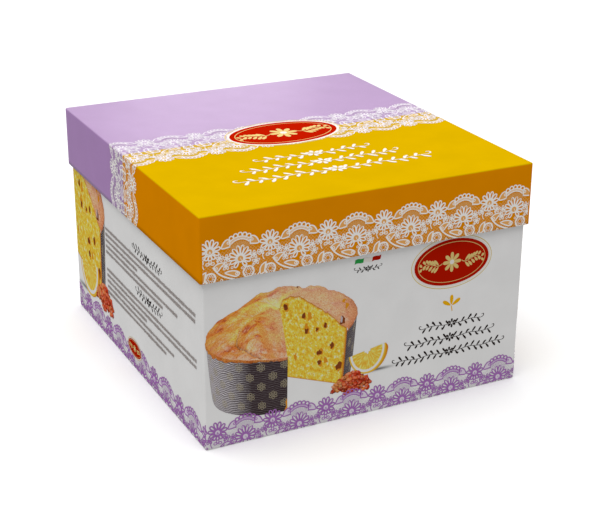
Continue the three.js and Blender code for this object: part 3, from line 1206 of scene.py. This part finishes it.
def picture_ink(name, paint, darkest=0.4, brightest=1.05):
    """A matt four-colour picture: screened inks too fine to see, with the light and the gleam of
    the scene it shows, nowhere brighter than the bare board. paint makes the colour of the thing
    itself, and the colour and share of its gleam."""
    material = surface(name, IOR=1.5, Specular_IOR_Level=0.0)
    film_bump(material)
    light = node(material, "Attribute", out="Fac", attribute_name="light")
    rest = node(material, "Attribute", out="Vector", attribute_name="rest")
    gleam = node(material, "Attribute", out="Fac", attribute_name="gleam")
    shade = node(material, "MapRange", [light, 0.15, 0.95, darkest, brightest])
    colour, gleam_colour, gleam_share = paint(material, rest)
    lit = node(material, "VectorMath", [colour, shade], operation="MULTIPLY")
    share = node(material, "Math", [gleam, gleam_share], operation="MULTIPLY", use_clamp=True)
    glossy = node(material, "Mix", {0: share, 6: lit, 7: gleam_colour}, data_type="RGBA")
    board = [c * 0.94 for c in bpy.context.scene.gift_box_print.white]
    return finish(material, Base_Color=node(material, "VectorMath", [glossy, board], operation="MINIMUM"))


def crust_paint(material, rest):
    """Baked crust: golden to chestnut in patches about 12 mm across, freckled by 1 mm blisters, pinker on the
    right as a painted highlight of the pictured light, browner towards the rim, pale where the dough tore and
    darker in the open splits as painted shade."""
    patches = node(material, "TexNoise", {"Vector": rest, "Scale": 0.085, "Detail": 6.0, "Roughness": 0.62})
    baking = [(0.34, "#B65420"), (0.45, "#EC9238"), (0.56, "#F7AE58"), (0.66, "#FAC654")]
    baked = node(material, "ValToRGB", [patches], stops=baking)
    right, up = (node(material, "SeparateXYZ", [rest], out=axis) for axis in "XZ")
    # Painted highlight: pinker towards the right, where the pictured light falls.
    lit_side_pink = node(material, "MapRange", [right, -18.0, 4.0, 0.0, 0.64])
    pink = node(material, "Mix", {0: lit_side_pink, 6: baked, 7: "#EAB8A0"}, data_type="RGBA")
    low = node(material, "MapRange", [up, 53.0, 45.5, 0.0, 0.55])
    browned = node(material, "Mix", {0: low, 6: pink, 7: "#B9663A"}, data_type="RGBA")
    fine = node(material, "TexNoise", {"Vector": rest, "Scale": 1.15, "Detail": 4.0, "Roughness": 0.75})
    blisters = [(0.37, "#9A5526"), (0.48, "#EBE0D0"), (0.6, "#FFFFFF")]
    freckles = node(material, "ValToRGB", [fine], stops=blisters)
    over_skin = {"data_type": "RGBA", "blend_type": "MULTIPLY"}
    skin = node(material, "Mix", {0: 0.85, 6: browned, 7: freckles}, **over_skin)
    pale = node(material, "Attribute", out="Fac", attribute_name="pale")
    torn_share = node(material, "Math", [pale, fine], operation="MULTIPLY")
    torn = node(material, "MapRange", [torn_share, 0.12, 0.5])
    gold = node(material, "Mix", {0: torn, 6: skin, 7: "#F4CE6A"}, data_type="RGBA")
    # Painted shade: darker in the open splits.
    split = node(material, "Attribute", out="Fac", attribute_name="split")
    split_shade_share = node(material, "MapRange", [split, 0.2, 0.8, 0.0, 0.9])
    dark = node(material, "Mix", {0: split_shade_share, 6: gold, 7: "#7A3E1C"}, data_type="RGBA")
    return dark, "#F7DCC4", node(material, "MapRange", [fine, 0.22, 0.72, 0.0, 1.1])


def crumb_paint(material, rest):
    """Open yellow crumb: pores one to three millimetres across, darker inside and bright on their
    lips, browner within a millimetre or two of the crust."""
    wide = node(material, "TexNoise", {"Vector": rest, "Scale": 0.3, "Detail": 6.0, "Roughness": 0.75})
    doughs = [(0.32, "#CC8A28"), (0.43, "#EDBE36"), (0.54, "#F4D350"), (0.64, "#FBF6CC")]
    dough = node(material, "ValToRGB", [wide], stops=doughs)
    pores = node(material, "TexVoronoi", {"Vector": rest, "Scale": 0.52, "Randomness": 1.0}, feature="F1")
    lips = node(material, "ValToRGB", [pores], stops=[(0.12, "#C98A3C"), (0.34, "#F2E6C8"), (0.6, "#FFFFFF")])
    in_pores = {"data_type": "RGBA", "blend_type": "MULTIPLY"}
    holed = node(material, "Mix", {0: 0.55, 6: dough, 7: lips}, **in_pores)
    edge = node(material, "Attribute", out="Fac", attribute_name="edge")
    browned = node(material, "MapRange", [edge, 0.2, 0.85, 0.0, 0.92])
    brown = node(material, "Mix", {0: browned, 6: holed, 7: "#C26C24"}, data_type="RGBA")
    return brown, "#FBF3A8", 0.0


def mould_paint(material, rest):
    """Brown corrugated baking paper: pale crests of rings drawn 1.5 mm apart, half as coarse again as
    the real ones so that they show, and bright where windows at both sides catch them."""
    turn, height = (node(material, "SeparateXYZ", [rest], out=axis) for axis in "XY")
    wander = node(material, "TexNoise", {"Vector": rest, "Scale": 0.12, "Detail": 3.0})
    broken = node(material, "TexNoise", {"Vector": rest, "Scale": 0.7, "Detail": 2.0})
    level = node(material, "Math", [wander, 3.4, height], operation="MULTIPLY_ADD")
    phase = node(material, "Math", [level, 2 * math.pi / 1.5], operation="MULTIPLY")
    wave = node(material, "Math", [phase], operation="SINE")
    crest = node(material, "MapRange", [wave, 0.1, 0.95])
    left = node(material, "MapRange", [turn, 226.0, 178.0, 0.48, 8.6])
    right = node(material, "MapRange", [turn, 285.0, 320.0, 0.0, 1.7])
    caught = node(material, "Math", [left, right], operation="MAXIMUM")
    share = node(material, "Math", [crest, caught], operation="MULTIPLY")
    patchy = node(material, "Math", [share, broken], operation="MULTIPLY")
    haze = node(material, "Math", [caught, 0.055], operation="MULTIPLY")
    paleness = node(material, "Math", [patchy, 0.55, haze], operation="MULTIPLY_ADD")
    paper = node(material, "Mix", {0: paleness, 6: "#321B1F", 7: "#F3ECF0"}, data_type="RGBA")
    return paper, "#CFC6BE", 0.0


def raisin_paint(material, rest):
    """Dried raisins: amber to dark garnet, each its own tone, wrinkled every 0.8 mm."""
    tone = node(material, "Attribute", out="Fac", attribute_name="tone")
    tones = [(0.0, "#A02A14"), (0.4, "#D8421E"), (0.75, "#EE6A38"), (1.0, "#F49A54")]
    body = node(material, "ValToRGB", [tone], stops=tones)
    wrinkles = node(material, "TexNoise", {"Vector": rest, "Scale": 1.3, "Detail": 3.0})
    grooves = node(material, "MapRange", [wrinkles, 0.35, 0.6, 0.55])
    skin = node(material, "VectorMath", [body, grooves], operation="MULTIPLY")
    return skin, "#F4B79A", 0.7


def orange_paint(material, rest):
    """Cut orange: juice sacs in long streaks, white pith a millimetre and a half thick, then peel."""
    reach, turn, lean = (node(material, "SeparateXYZ", [rest], out=axis) for axis in "XYZ")
    spokes = node(material, "Math", [turn, 9.0], operation="MULTIPLY")
    along = node(material, "Math", [reach, 0.28], operation="MULTIPLY")
    streaks = node(material, "CombineXYZ", [spokes, along])
    sacs = node(material, "TexNoise", {"Vector": streaks, "Scale": 1.0, "Detail": 3.0})
    juices = [(0.34, "#EFA51C"), (0.5, "#F6C236"), (0.66, "#FAE480")]
    pulp = node(material, "ValToRGB", [sacs], stops=juices)
    ripple = node(material, "Math", [sacs, 0.5, reach], operation="MULTIPLY_ADD")
    in_pith = node(material, "MapRange", [ripple, 13.1, 13.5])
    flesh = node(material, "Mix", {0: in_pith, 6: pulp, 7: "#F7F5EE"}, data_type="RGBA")
    in_peel = node(material, "MapRange", [reach, 14.6, 14.8])
    zest = node(material, "ValToRGB", [lean], stops=[(0.0, "#F7B82E"), (0.6, "#EF9A1C"), (1.0, "#E5861A")])
    whole = node(material, "Mix", {0: in_peel, 6: flesh, 7: zest}, data_type="RGBA")
    return whole, "#FFF3D0", 0.35


def baked_crust():
    """Real baked crust: the pictured one's colours, deeper, with a dry skin pitted by blisters. The colours
    keep the picture's painted light: a pinker right side as painted highlight and darker open splits as
    painted shade.
    """
    material = surface("baked crust", Roughness=0.62, Specular_IOR_Level=0.3)
    rest = node(material, "Attribute", out="Vector", attribute_name="rest")
    colour = crust_paint(material, rest)[0]
    deeper = node(material, "VectorMath", [colour, (0.62, 0.5, 0.42)], operation="MULTIPLY")
    pits = node(material, "TexNoise", {"Vector": rest, "Scale": 0.9, "Detail": 5.0, "Roughness": 0.65})
    bump = node(material, "Bump", {"Height": pits, "Strength": 0.6, "Distance": 0.0012})
    return finish(material, Base_Color=deeper, Normal=bump)


def baking_paper():
    """Brown corrugated baking paper: matt, with greasy darker blots and fibres a millimetre long."""
    material = surface("brown corrugated baking paper", Roughness=0.8)
    place = node(material, "TexCoord", out="Object")
    blots = node(material, "TexNoise", {"Vector": place, "Scale": 35.0, "Detail": 4.0})
    tone = node(material, "ValToRGB", [blots], stops=[(0.35, "#33201A"), (0.65, "#553A2C")])
    fibres = node(material, "TexNoise", {"Vector": place, "Scale": 1100.0, "Detail": 3.0})
    bump = node(material, "Bump", {"Height": fibres, "Strength": 0.4, "Distance": 0.0001})
    return finish(material, Base_Color=tone, Normal=bump)


def clear_film():
    """Clear polypropylene film, 0.04 mm thick: glossy, nearly invisible face-on, and crinkled in
    facets about 12 mm across."""
    material = surface("clear polypropylene film", Base_Color="#F3F7F9", IOR=1.49, Alpha=0.22)
    place = node(material, "TexCoord", out="Object")
    facets = node(material, "TexVoronoi", {"Vector": place, "Scale": 80.0}, feature="F1")
    bump = node(material, "Bump", {"Height": facets, "Strength": 0.5, "Distance": 0.002})
    haze = node(material, "TexNoise", {"Vector": place, "Scale": 60.0, "Detail": 3.0})
    gloss = node(material, "MapRange", [haze, 0.0, 1.0, 0.05, 0.2])
    return finish(material, Normal=bump, Roughness=gloss)


def gold_tie():
    """Gold-lacquered paper over wire: a satin metallic lacquer, creased every two millimetres where
    the paper was wound on."""
    material = surface("gold lacquered paper tie", Metallic=0.8)
    place = node(material, "TexCoord", out="Object")
    bands = {"Vector": place, "Scale": 160.0, "Distortion": 3.0, "Detail": 2.0}
    creases = node(material, "TexWave", bands, out="Fac", bands_direction="DIAGONAL")
    tone = node(material, "ValToRGB", [creases], stops=[(0.1, "#A9822A"), (0.7, "#DDB755")])
    satin = node(material, "MapRange", [creases, 0.0, 1.0, 0.5, 0.3])
    bump = node(material, "Bump", {"Height": creases, "Strength": 0.5, "Distance": 0.0002})
    return finish(material, Base_Color=tone, Roughness=satin, Normal=bump)


def between(first, second, share):
    """A linear blend of two inks, as a half-tone screen of the second over the first gives."""
    return tuple(a + (b - a) * share for a, b in zip(first, second))


# ---------------------------------------------------------------------------------------------
# Operators: one for each piece or group of like pieces
# ---------------------------------------------------------------------------------------------


def cartons():
    """The lid and the tray, to print on."""
    board = bpy.context.scene.gift_box_board
    return Carton("lid", True, board), Carton("base_tray", False, board)


class GIFTBOX_OT_cartons(bpy.types.Operator):
    """The lid and the tray as folded shells of printed board"""

    bl_idname = "gift_box.cartons"
    bl_label = "Lid and tray"

    def execute(self, context):
        lid, tray = cartons()
        inks = context.scene.gift_box_print
        change = lid.high[1] - inks.colour_change / MM
        fold = (lid.high[2] - 0.8) * MM
        liner, edge = board_liner(), cut_edge()
        # The lid's top and skirt take the same inks in lighter and deeper tones, as painted light and shade.
        rear = printed_board("satin lilac print", lit_top_shaded_skirt_ink(inks.lilac, inks.lilac_skirt_painted_shade, fold), 0.22)
        front = printed_board("matt orange print", lit_top_shaded_skirt_ink(inks.orange, inks.orange_skirt_painted_shade, fold), 0.0)
        white = printed_board("laminated white board", white_ground)
        lid_mesh = carton_mesh("lid_board", lid, change)
        show("lid_board", lid_mesh, [rear, liner, edge, front], "lid_board", ["lid"])
        show("tray_board", carton_mesh("tray_board", tray), [white, liner, edge], "tray_board", ["base_tray"])
        return {"FINISHED"}


class GIFTBOX_OT_lid_lace(bpy.types.Operator):
    """White lace printed round the lid's skirt and in two bands across its top"""

    bl_idname = "gift_box.lid_lace"
    bl_label = "Lid lace"

    def execute(self, context):
        lid = cartons()[0]
        inks = context.scene.gift_box_print
        period, change = inks.lace_period / MM, inks.colour_change / MM
        lace = lace_repeat(inks.ink_height / MM)
        paper, cream = linear("#F4F1EC"), linear("#F4DCA8")
        white = ink_film("white lace ink", paper)
        # Painted shade: the lace's white on the lid's top is painted dimmer than on the skirts, against the
        # stronger light on the top.
        lace_white_dimmed_on_top = ink_film("lace white painted dimmer on the lit top", "#DDD7DD")
        # The half-tones mix white into the lid's inks, so they keep the painted light of the top and the
        # painted shade of the skirts.
        on_orange = ink_film("half-tone of white on orange", between(inks.orange_skirt_painted_shade, cream, 0.3))
        on_lilac = ink_film("half-tone of white on lilac", between(inks.lilac_skirt_painted_shade, paper, 0.28))
        top_orange = ink_film("light half-tone on orange", between(inks.orange, cream, 0.2))
        top_lilac = ink_film("light half-tone on lilac", between(inks.lilac, paper, 0.12))
        first, skirt_top, margin = 26.7, 13.0, 1.7
        for side, half_tone in (("front", on_orange), ("back", on_lilac)):
            panel = lid.panel(side)
            laid = lace.laid_out([first + period * i for i in range(-1, 7)], shift=(0, skirt_top))
            window = (margin, 0, panel[3] - margin, panel[4])
            printed(f"lid_lace_{side}", lid, panel, laid, [white] + [half_tone] * 2, "lid_board", window)
        # Across the top and down both side skirts, one band each side of the colour change.
        scale, depth, edge, first = 0.94, 28.0, 30, 4.1
        pitch = period * scale
        top = lid.panel("top")
        bands = (("rear", on_lilac, top_lilac, -1), ("front", on_orange, top_orange, 1))
        for name, half_tone, on_top, outward in bands:
            offsets = [first + pitch * i for i in range(8)]
            laid = lace.laid_out(offsets, scale, outward > 0, (0, change + outward * depth))
            near, far = sorted((change, change + outward * edge))
            band = (0, near, top[3], far)
            printed(f"lid_lace_top_{name}", lid, top, laid, [lace_white_dimmed_on_top] + [on_top] * 2, "lid_board", band)
            for side in ("left", "right"):
                panel = lid.panel(side)
                left = side == "left"
                turned = outward if left else -outward
                fold = change if left else panel[3] - change
                start = -first if left else first - top[3]
                offsets = [start % pitch + pitch * i for i in (-1, 0, 1)]
                laid = lace.laid_out(offsets, scale, turned > 0, (fold + turned * depth, 0), True)
                near, far = sorted((fold, fold + turned * edge))
                band = (near, 0, far, panel[4])
                colours = [white, half_tone, half_tone]
                printed(f"lid_lace_{side}_{name}", lid, panel, laid, colours, "lid_board", band)
        return {"FINISHED"}


class GIFTBOX_OT_tray_lace(bpy.types.Operator):
    """Lilac lace printed round the foot of the tray"""

    bl_idname = "gift_box.tray_lace"
    bl_label = "Tray lace"

    def execute(self, context):
        lid, tray = cartons()
        inks = context.scene.gift_box_print
        lace = lace_repeat(inks.ink_height / MM + 0.1)
        shades = [
            ink_film("lilac lace ink", inks.tray_lace),
            ink_film("half-tone of lilac on white", between(inks.white, inks.tray_lace, 0.3)),
            ink_film("light half-tone of lilac", between(inks.white, inks.tray_lace, 0.18)),
        ]
        drawn_repeat, lace_top = 40, 95.3
        for side in ("front", "back", "left", "right"):
            panel = tray.panel(side, lid.low[2])
            period, first = (38.8, 27.5) if side in ("front", "back") else (46.4, 46.7)
            offsets = [first + period * i for i in range(-1, 7)]
            laid = lace.laid_out(offsets, period / drawn_repeat, shift=(0, lace_top))
            printed(f"tray_lace_{side}", tray, panel, laid, shades, "tray_board")
        return {"FINISHED"}


class GIFTBOX_OT_ornaments(bpy.types.Operator):
    """Plain medallions, vines, sprigs and broken rules on the lid's top and the tray's walls"""

    bl_idname = "gift_box.ornaments"
    bl_label = "Ornaments"

    def execute(self, context):
        lid, tray = cartons()
        inks = context.scene.gift_box_print
        # In the order of PLAIN to GREY.
        hues = {"white": "#E4DED6", "red": inks.red, "gold": inks.gold, "green": "#2F9A4A",
                "yellow": "#E8AE12", "grey": "#A29A97"}
        colours = [ink_film(f"{hue} ornament ink", colour) for hue, colour in hues.items()]
        dark = [ink_film("dark ornament ink", inks.dark)]
        rng = random.Random(7)
        top = Sheet(0.125)
        medallion(top, 120, 125.3, 40.5, 24.0)
        for place in ((118, 176.5, 78, 12.5), (116, 194, 108, 12.5), (117.5, 212, 136, 13)):
            garland(top, *place, PLAIN, rng)
        printed("lid_ornaments", lid, lid.panel("top"), top.laid_out(), colours, "lid_board")
        wide, wide_garlands = Sheet(0.02), Sheet(0.02)
        medallion(wide, 178.8, 18.0, 29.0, 16.4)
        sprig(wide, 180, 50, 8.0, YELLOW)
        ribbon(wide, 105.5, 3.4, 19)
        for place in ((181, 63, 46, 7.2), (180, 73.3, 66, 7.2), (180, 84, 84, 7.2), (115, 11.2, 17, 4.6)):
            garland(wide_garlands, *place, PLAIN, rng)
        narrow, headings = Sheet(0.22), Sheet(0.02)
        medallion(narrow, 125, 100.3, 13.0, 6.2)
        line_pitch, left_end, right_end = 4.5, 72, 240
        for first, ends in ((26.8, (241, 241, 137, 210, 184)), (58.6, (241, 241, 152, 202, 188))):
            lines = [(first + line_pitch * i, end) for i, end in enumerate(ends)]
            broken_rules(narrow, left_end, right_end, lines, rng, GREY)
        for place in ((156.5, 20.6, 50, 7.4), (157.5, 51.6, 45, 7.4)):
            garland(headings, *place, PLAIN, rng)
        walls = {side: (wide, wide_garlands) for side in ("front", "back")}
        walls |= {side: (narrow, headings) for side in ("left", "right")}
        for side, (ornaments, garlands) in walls.items():
            wall = (tray, tray.panel(side, lid.low[2]))
            printed(f"tray_ornaments_{side}", *wall, ornaments.laid_out(), colours, "tray_board")
            printed(f"tray_garlands_{side}", *wall, garlands.laid_out(), dark, "tray_board")
        return {"FINISHED"}


class GIFTBOX_OT_cake_picture(bpy.types.Operator):
    """The cut cake, orange wedge and raisins pictured on the tray's four walls"""

    bl_idname = "gift_box.cake_picture"
    bl_label = "Cake picture"

    def execute(self, context):
        lid, tray = cartons()
        crust, crumb, mould = crust_model(), crumb_model(), mould_model()
        orange, raisins = orange_model(), raisins_model(random.Random(12))
        inks = {
            "crust": picture_ink("four-colour picture of crust", crust_paint, 0.5, 1.42),
            "crumb": picture_ink("four-colour picture of crumb", crumb_paint, 0.85, 1.2),
            "mould": picture_ink("four-colour picture of corrugated paper", mould_paint, 0.55),
            "orange": picture_ink("four-colour picture of orange", orange_paint, 0.7),
            "raisins": picture_ink("four-colour picture of raisins", raisin_paint, 0.5, 1.5),
            "shadow": printed_board("grey half-tone shadow on white", shaded_white),
        }
        # In the order of DARK to ROSETTE.
        spots = {"dark raisin": "#82421F", "ochre crumb": "#D98F24", "pale glint": "#BDB2B4",
                 "mould rosette": "#A99E82"}
        flats = [ink_film(f"{name} ink", colour) for name, colour in spots.items()]
        # Each wall: where the cake, the wedge and the raisins stand, their sizes, and the side on
        # which the wedge's shadow falls.
        layouts = (
            (("front", "back"), (54.5, 81.2), 1.0, (116.0, 84.6), 1.0, (104.5, 96.5), 1.0, 1),
            (("left", "right"), (-6.2, 76.8), 1.45, (29.0, 93.5), 1.52, (63.0, 92.5), 1.3, -1),
        )
        for sides, *cake, wedge_place, wedge_scale, heap_place, heap_scale, shadow_side in layouts:
            wedge, heap = (wedge_place, wedge_scale), (heap_place, heap_scale)
            # Each picture's model, place and size, and its lowest and highest lift off the board.
            layers = {
                "shadow": (shadow_model(shadow_side * 9, -2, 17, 5), *wedge, 0.03, 0.03),
                "crumb": (crumb, *cake, 0.05, 0.056),
                "mould": (mould, *cake, 0.062, 0.07),
                "crust": (crust, *cake, 0.072, 0.11),
                "orange": (orange, *wedge, 0.116, 0.13),
                "raisins": (raisins, *heap, 0.132, 0.142),
            }
            for side in sides:
                wall, board = (tray, tray.panel(side, lid.low[2])), "tray_board"
                for key, (model, *press) in layers.items():
                    laid = model.pressed(*press)
                    printed(f"picture_{key}_{side}", *wall, laid, [inks[key]], board, values=model.values)
                printed(f"picture_details_{side}", *wall, picture_details(*cake), flats, board)
        return {"FINISHED"}


def span(node_name):
    """A CAD node's radius, lowest and highest point in millimetres."""
    low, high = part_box(node_name)
    return high[0] / MM, low[2] / MM, high[2] / MM


def solid_mesh(name, points, faces, values=None):
    """A smooth mesh in metres from points in millimetres, with per-point values."""
    mesh = bpy.data.meshes.new(name)
    mesh.from_pydata((np.array(points) * MM).tolist(), [], faces)
    store(mesh, values or {})
    mesh.shade_smooth()
    return mesh


def turned_mesh(name, profile, columns, shape=None, closed=False):
    """A surface of revolution from radii and heights. shape may move the points, which it gets with
    their turns, and may return values for them."""
    radii, heights = np.array(profile).T
    radius, turns = every(radii, full_turn(columns))
    points = polar(radius, turns, np.repeat(heights, columns))
    values = shape(points, turns) if shape else None
    faces = grid_faces(len(radii), columns, around=True)
    if closed:
        faces.append(tuple(range(columns)))
        faces.append(tuple(reversed(range(len(points) - columns, len(points)))))
    return solid_mesh(name, points, [face[::-1] for face in faces], values)


class GIFTBOX_OT_contents(bpy.types.Operator):
    """The cake in its paper mould and tied film bag, shut away inside the box"""

    bl_idname = "gift_box.contents"
    bl_label = "Contents"

    def execute(self, context):
        mould_rim, mould_foot, mould_top = span("baking_mould")
        paper, taper = 0.9, 4
        self.loaf(mould_rim - paper, mould_rim - taper - paper, mould_top)
        self.mould(mould_rim, mould_foot, mould_top)
        self.bag(mould_rim, mould_top)
        self.tie()
        return {"FINISHED"}

    def loaf(self, rim, foot, mould_top):
        """A whole dome over a plain body, its lobes and splits like the pictured cake's."""
        low, top = span("panettone_loaf")[1:]
        crown = curve(
            (rim, mould_top + 0.3), (rim + 5, mould_top + 14), (rim - 12, top - 8), (rim - 48, top - 3),
            (rim - 66, top - 0.5), (24, top), (0.4, top), steps=24,
        )

        def swell(points, turns):
            plan = points * (CAKE_RIM / rim)
            bump, split, pale = crust_swell(plan * (1, 1, 0))
            inside = np.clip((rim - np.hypot(*points[:, :2].T)) / 16, 0, 1) * (points[:, 2] > mould_top)
            points[:, 2] += 1.5 * (bump - bump.max()) * inside
            return {"split": split, "pale": pale, "rest": plan}

        mesh = turned_mesh("loaf_crust", [(foot, low + 0.4), *crown], 320, swell, closed=True)
        show("loaf_crust", mesh, [baked_crust()], "crust", ["panettone_loaf"])

    def mould(self, rim, foot, top):
        """A cup of corrugated paper that narrows to its foot: ringed flutes outside, plain inside."""
        pitch, depth, paper, taper = 2.5, 0.35, 0.6, 4
        steps = round((top - foot) / pitch * 4)
        outside = [(0.5, foot)]
        for i in range(steps + 1):
            share = i / steps
            flute = depth / 2 * (math.cos(i / 4 * 2 * math.pi) - 1)
            outside.append((rim - taper * (1 - share) + flute, foot + (top - foot) * share))
        inside = [(rim - paper, top), (rim - taper - paper, foot + paper), (0.5, foot + paper)]
        mesh = turned_mesh("mould_cup", outside + inside, 120)
        show("mould_cup", mesh, [baking_paper()], "mould_paper", ["baking_mould"])

    def bag(self, mould_rim, mould_top):
        """Film that clings round the cake, folds into pleats towards the tie and flares above it."""
        low, top = span("film_bag")[1:]
        neck = sum(span("bag_tie")[1:]) / 2
        cake_top = span("panettone_loaf")[2]
        slack = 1.6
        foot = mould_rim - 4 + slack
        skin = [(0.5, low), (foot - slack - 1, low), (foot, low + 1)]
        skin += [(foot + i / 2, low + 1 + (mould_top - low) * i / 8) for i in range(1, 9)]
        skin += curve(
            (mould_rim + slack, mould_top + 6), (mould_rim + slack + 2, mould_top + 18),
            (mould_rim - 11, cake_top - 5), (mould_rim - 47, cake_top - 1.4),
            (mould_rim - 60, cake_top), (34, cake_top + 1.5), (21, cake_top + 4),
            (14, cake_top + 6), (7.4, neck - 6), (6.6, neck - 2),
            (6.2, neck), (7, neck + 4), (11, neck + 9),
            (15, neck + 13), (17, neck + 18), (18, top - 0.4), steps=14,
        )

        def pleat(points, turns):
            radius, height = np.hypot(*points[:, :2].T), points[:, 2]
            over_cake = np.clip((90 - radius) / 70, 0, 1) * (height > mould_top)
            drift = rough(points * (1, 1, 0.4), 25, 5.5, 3)
            wave = 0.6 * np.cos(22 * turns + 5 * drift) + 0.4 * np.cos(13 * turns - 4 * drift)
            tuft_share = np.clip((height - neck) / (top - neck), 0, 1)
            rise = np.where(height < neck - 5, 1.1 * over_cake * (0.4 + wave / 2), 0)
            swing = 0.25 * wave * (height > low + 2) + 0.5 * over_cake * wave
            swing = np.where(height > neck - 6, (0.5 + 3.4 * tuft_share) * wave, swing)
            points[:, :2] *= (1 + swing / np.maximum(radius, 5))[:, None]
            points[:, 2] += rise

        mesh = turned_mesh("bag_film", skin, 264, pleat)
        show("bag_film", mesh, [clear_film()], "bag_film", ["film_bag"])

    def tie(self):
        """The tie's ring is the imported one; its two ends are twisted together beside the neck."""
        gold = gold_tie()
        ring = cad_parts["bag_tie"]
        ring.data.materials.clear()
        ring.data.materials.append(gold)
        radius, low, high = span("bag_tie")
        wire_radius, middle = (high - low) / 2, (low + high) / 2
        rows, sides, length, twists, twisted = 49, 8, 20, 3.5, 0.8
        share = np.linspace(0, 1, rows)
        spread = wire_radius * (1.0 + 5.0 * np.maximum(share - twisted, 0))
        points, faces = [], []
        for phase in (0.0, math.pi):
            turn = phase + 2 * math.pi * twists * np.minimum(share, twisted)
            rise = middle + spread * np.sin(turn) + 1.5 * share
            centres = columns_of(radius - wire_radius + length * share, spread * np.cos(turn), rise)
            circle = polar(0.8 * wire_radius, full_turn(sides))[:, [2, 0, 1]]
            start = len(points)
            points += (centres[:, None] + circle).reshape(-1, 3).tolist()
            faces += [[v + start for v in face] for face in grid_faces(rows, sides, around=True)]
            faces += [list(range(start, start + sides)), list(range(len(points) - 1, len(points) - 9, -1))]
        show("tie_ends", solid_mesh("tie_ends", points, faces), [gold], "tie_paper")


def aimed(thing, direction):
    """Turns a lamp so that it shines from a direction."""
    thing.rotation_euler = Vector(direction).to_track_quat("Z", "Y").to_euler()


class GIFTBOX_OT_stage(bpy.types.Operator):
    """Pale floor, soft studio light and the camera"""

    bl_idname = "gift_box.stage"
    bl_label = "Stage"

    def execute(self, context):
        settings = context.scene.gift_box_stage
        self.floor()
        self.lights(context.scene, settings)
        self.camera(context.scene, settings)
        context.scene.view_settings.view_transform = "Standard"
        return {"FINISHED"}

    def floor(self):
        """A wide white floor, which mustn't light the walls from below and wash out their inks."""
        reach = 6.0
        mesh = bpy.data.meshes.new("floor")
        corners = [(-reach, -reach, 0), (reach, -reach, 0), (reach, reach, 0), (-reach, reach, 0)]
        mesh.from_pydata(corners, [], [(0, 1, 2, 3)])
        mesh.materials.append(surface("white studio floor", Base_Color="#EFEFEF", Roughness=0.9))
        floor = placed("floor", mesh)
        floor.location.z = -0.0002
        floor.visible_diffuse = False
        floor.visible_glossy = False

    def lights(self, scene, settings):
        """White studio walls, a silk overhead, and a softbox low behind the box, mirrored as a broad
        sheen in the lilac of the lid's top."""
        scene.world = bpy.data.worlds.new("white studio")
        scene.world.use_nodes = True
        walls = scene.world.node_tree.nodes["Background"]
        walls.inputs["Color"].default_value = rgba("#FFFFFF")
        walls.inputs["Strength"].default_value = settings.surround
        silk = bpy.data.lights.new("overhead_silk", "SUN")
        silk.energy = settings.silk
        silk.angle = math.radians(70)
        aimed(placed("overhead_silk", silk), (-0.165, -0.02, 1.0))
        softbox = bpy.data.lights.new("rear_softbox", "AREA")
        softbox.shape = "RECTANGLE"
        softbox.size, softbox.size_y = 0.34, 0.12
        softbox.energy = settings.sheen
        lamp = placed("rear_softbox", softbox)
        lamp.location = (0.575, 1.48, 0.53)
        aimed(lamp, (0.56, 1.36, 0.37))

    def camera(self, scene, settings):
        """A camera that looks down at the box from its front left corner."""
        lens = bpy.data.cameras.new("camera")
        lens.lens = settings.lens
        lens.sensor_width = 36.0
        lens.clip_start = 0.01
        scene.camera = placed("camera", lens)
        angles = (settings.azimuth, settings.elevation, settings.roll)
        azimuth, elevation, lean = (math.radians(angle) for angle in angles)
        level = math.cos(elevation)
        back = Vector((math.sin(azimuth) * level, -math.cos(azimuth) * level, math.sin(elevation)))
        right = Vector((0, 0, 1)).cross(back).normalized()
        up = back.cross(right)
        across = right * math.cos(lean) + up * math.sin(lean)
        above = up * math.cos(lean) - right * math.sin(lean)
        turn = Matrix((across, above, back)).transposed().to_4x4()
        target = Vector((0.0118, 0.0, 0.0648))
        scene.camera.matrix_world = Matrix.Translation(target + back * settings.distance) @ turn


class GIFTBOX_PT_panel(bpy.types.Panel):
    """Lists the box's steps and settings"""

    bl_label = "Gift Box"
    bl_space_type = "VIEW_3D"
    bl_region_type = "UI"
    bl_category = "Gift Box"

    def draw(self, context):
        for step in STEPS:
            self.layout.operator(step.bl_idname)
        for name, group in SETTINGS.items():
            box = self.layout.box()
            for key in group.__annotations__:
                box.prop(getattr(context.scene, name), key)


STEPS = [
    GIFTBOX_OT_stage,
    GIFTBOX_OT_cartons,
    GIFTBOX_OT_lid_lace,
    GIFTBOX_OT_tray_lace,
    GIFTBOX_OT_cake_picture,
    GIFTBOX_OT_ornaments,
    GIFTBOX_OT_contents,
]
SETTINGS = {
    "gift_box_print": GiftBoxPrint,
    "gift_box_board": GiftBoxBoard,
    "gift_box_stage": GiftBoxStage,
}


def register():
    for settings in SETTINGS.values():
        bpy.utils.register_class(settings)
    for name, settings in SETTINGS.items():
        setattr(bpy.types.Scene, name, bpy.props.PointerProperty(type=settings))
    for step in STEPS:
        bpy.utils.register_class(step)
    bpy.utils.register_class(GIFTBOX_PT_panel)


def unregister():
    bpy.utils.unregister_class(GIFTBOX_PT_panel)
    for step in reversed(STEPS):
        bpy.utils.unregister_class(step)
    for name in SETTINGS:
        delattr(bpy.types.Scene, name)
    for settings in reversed(SETTINGS.values()):
        bpy.utils.unregister_class(settings)


def main():
    register()
    for step in STEPS:
        group, name = step.bl_idname.split(".")
        getattr(getattr(bpy.ops, group), name)()


if __name__ == "__main__":
    main()
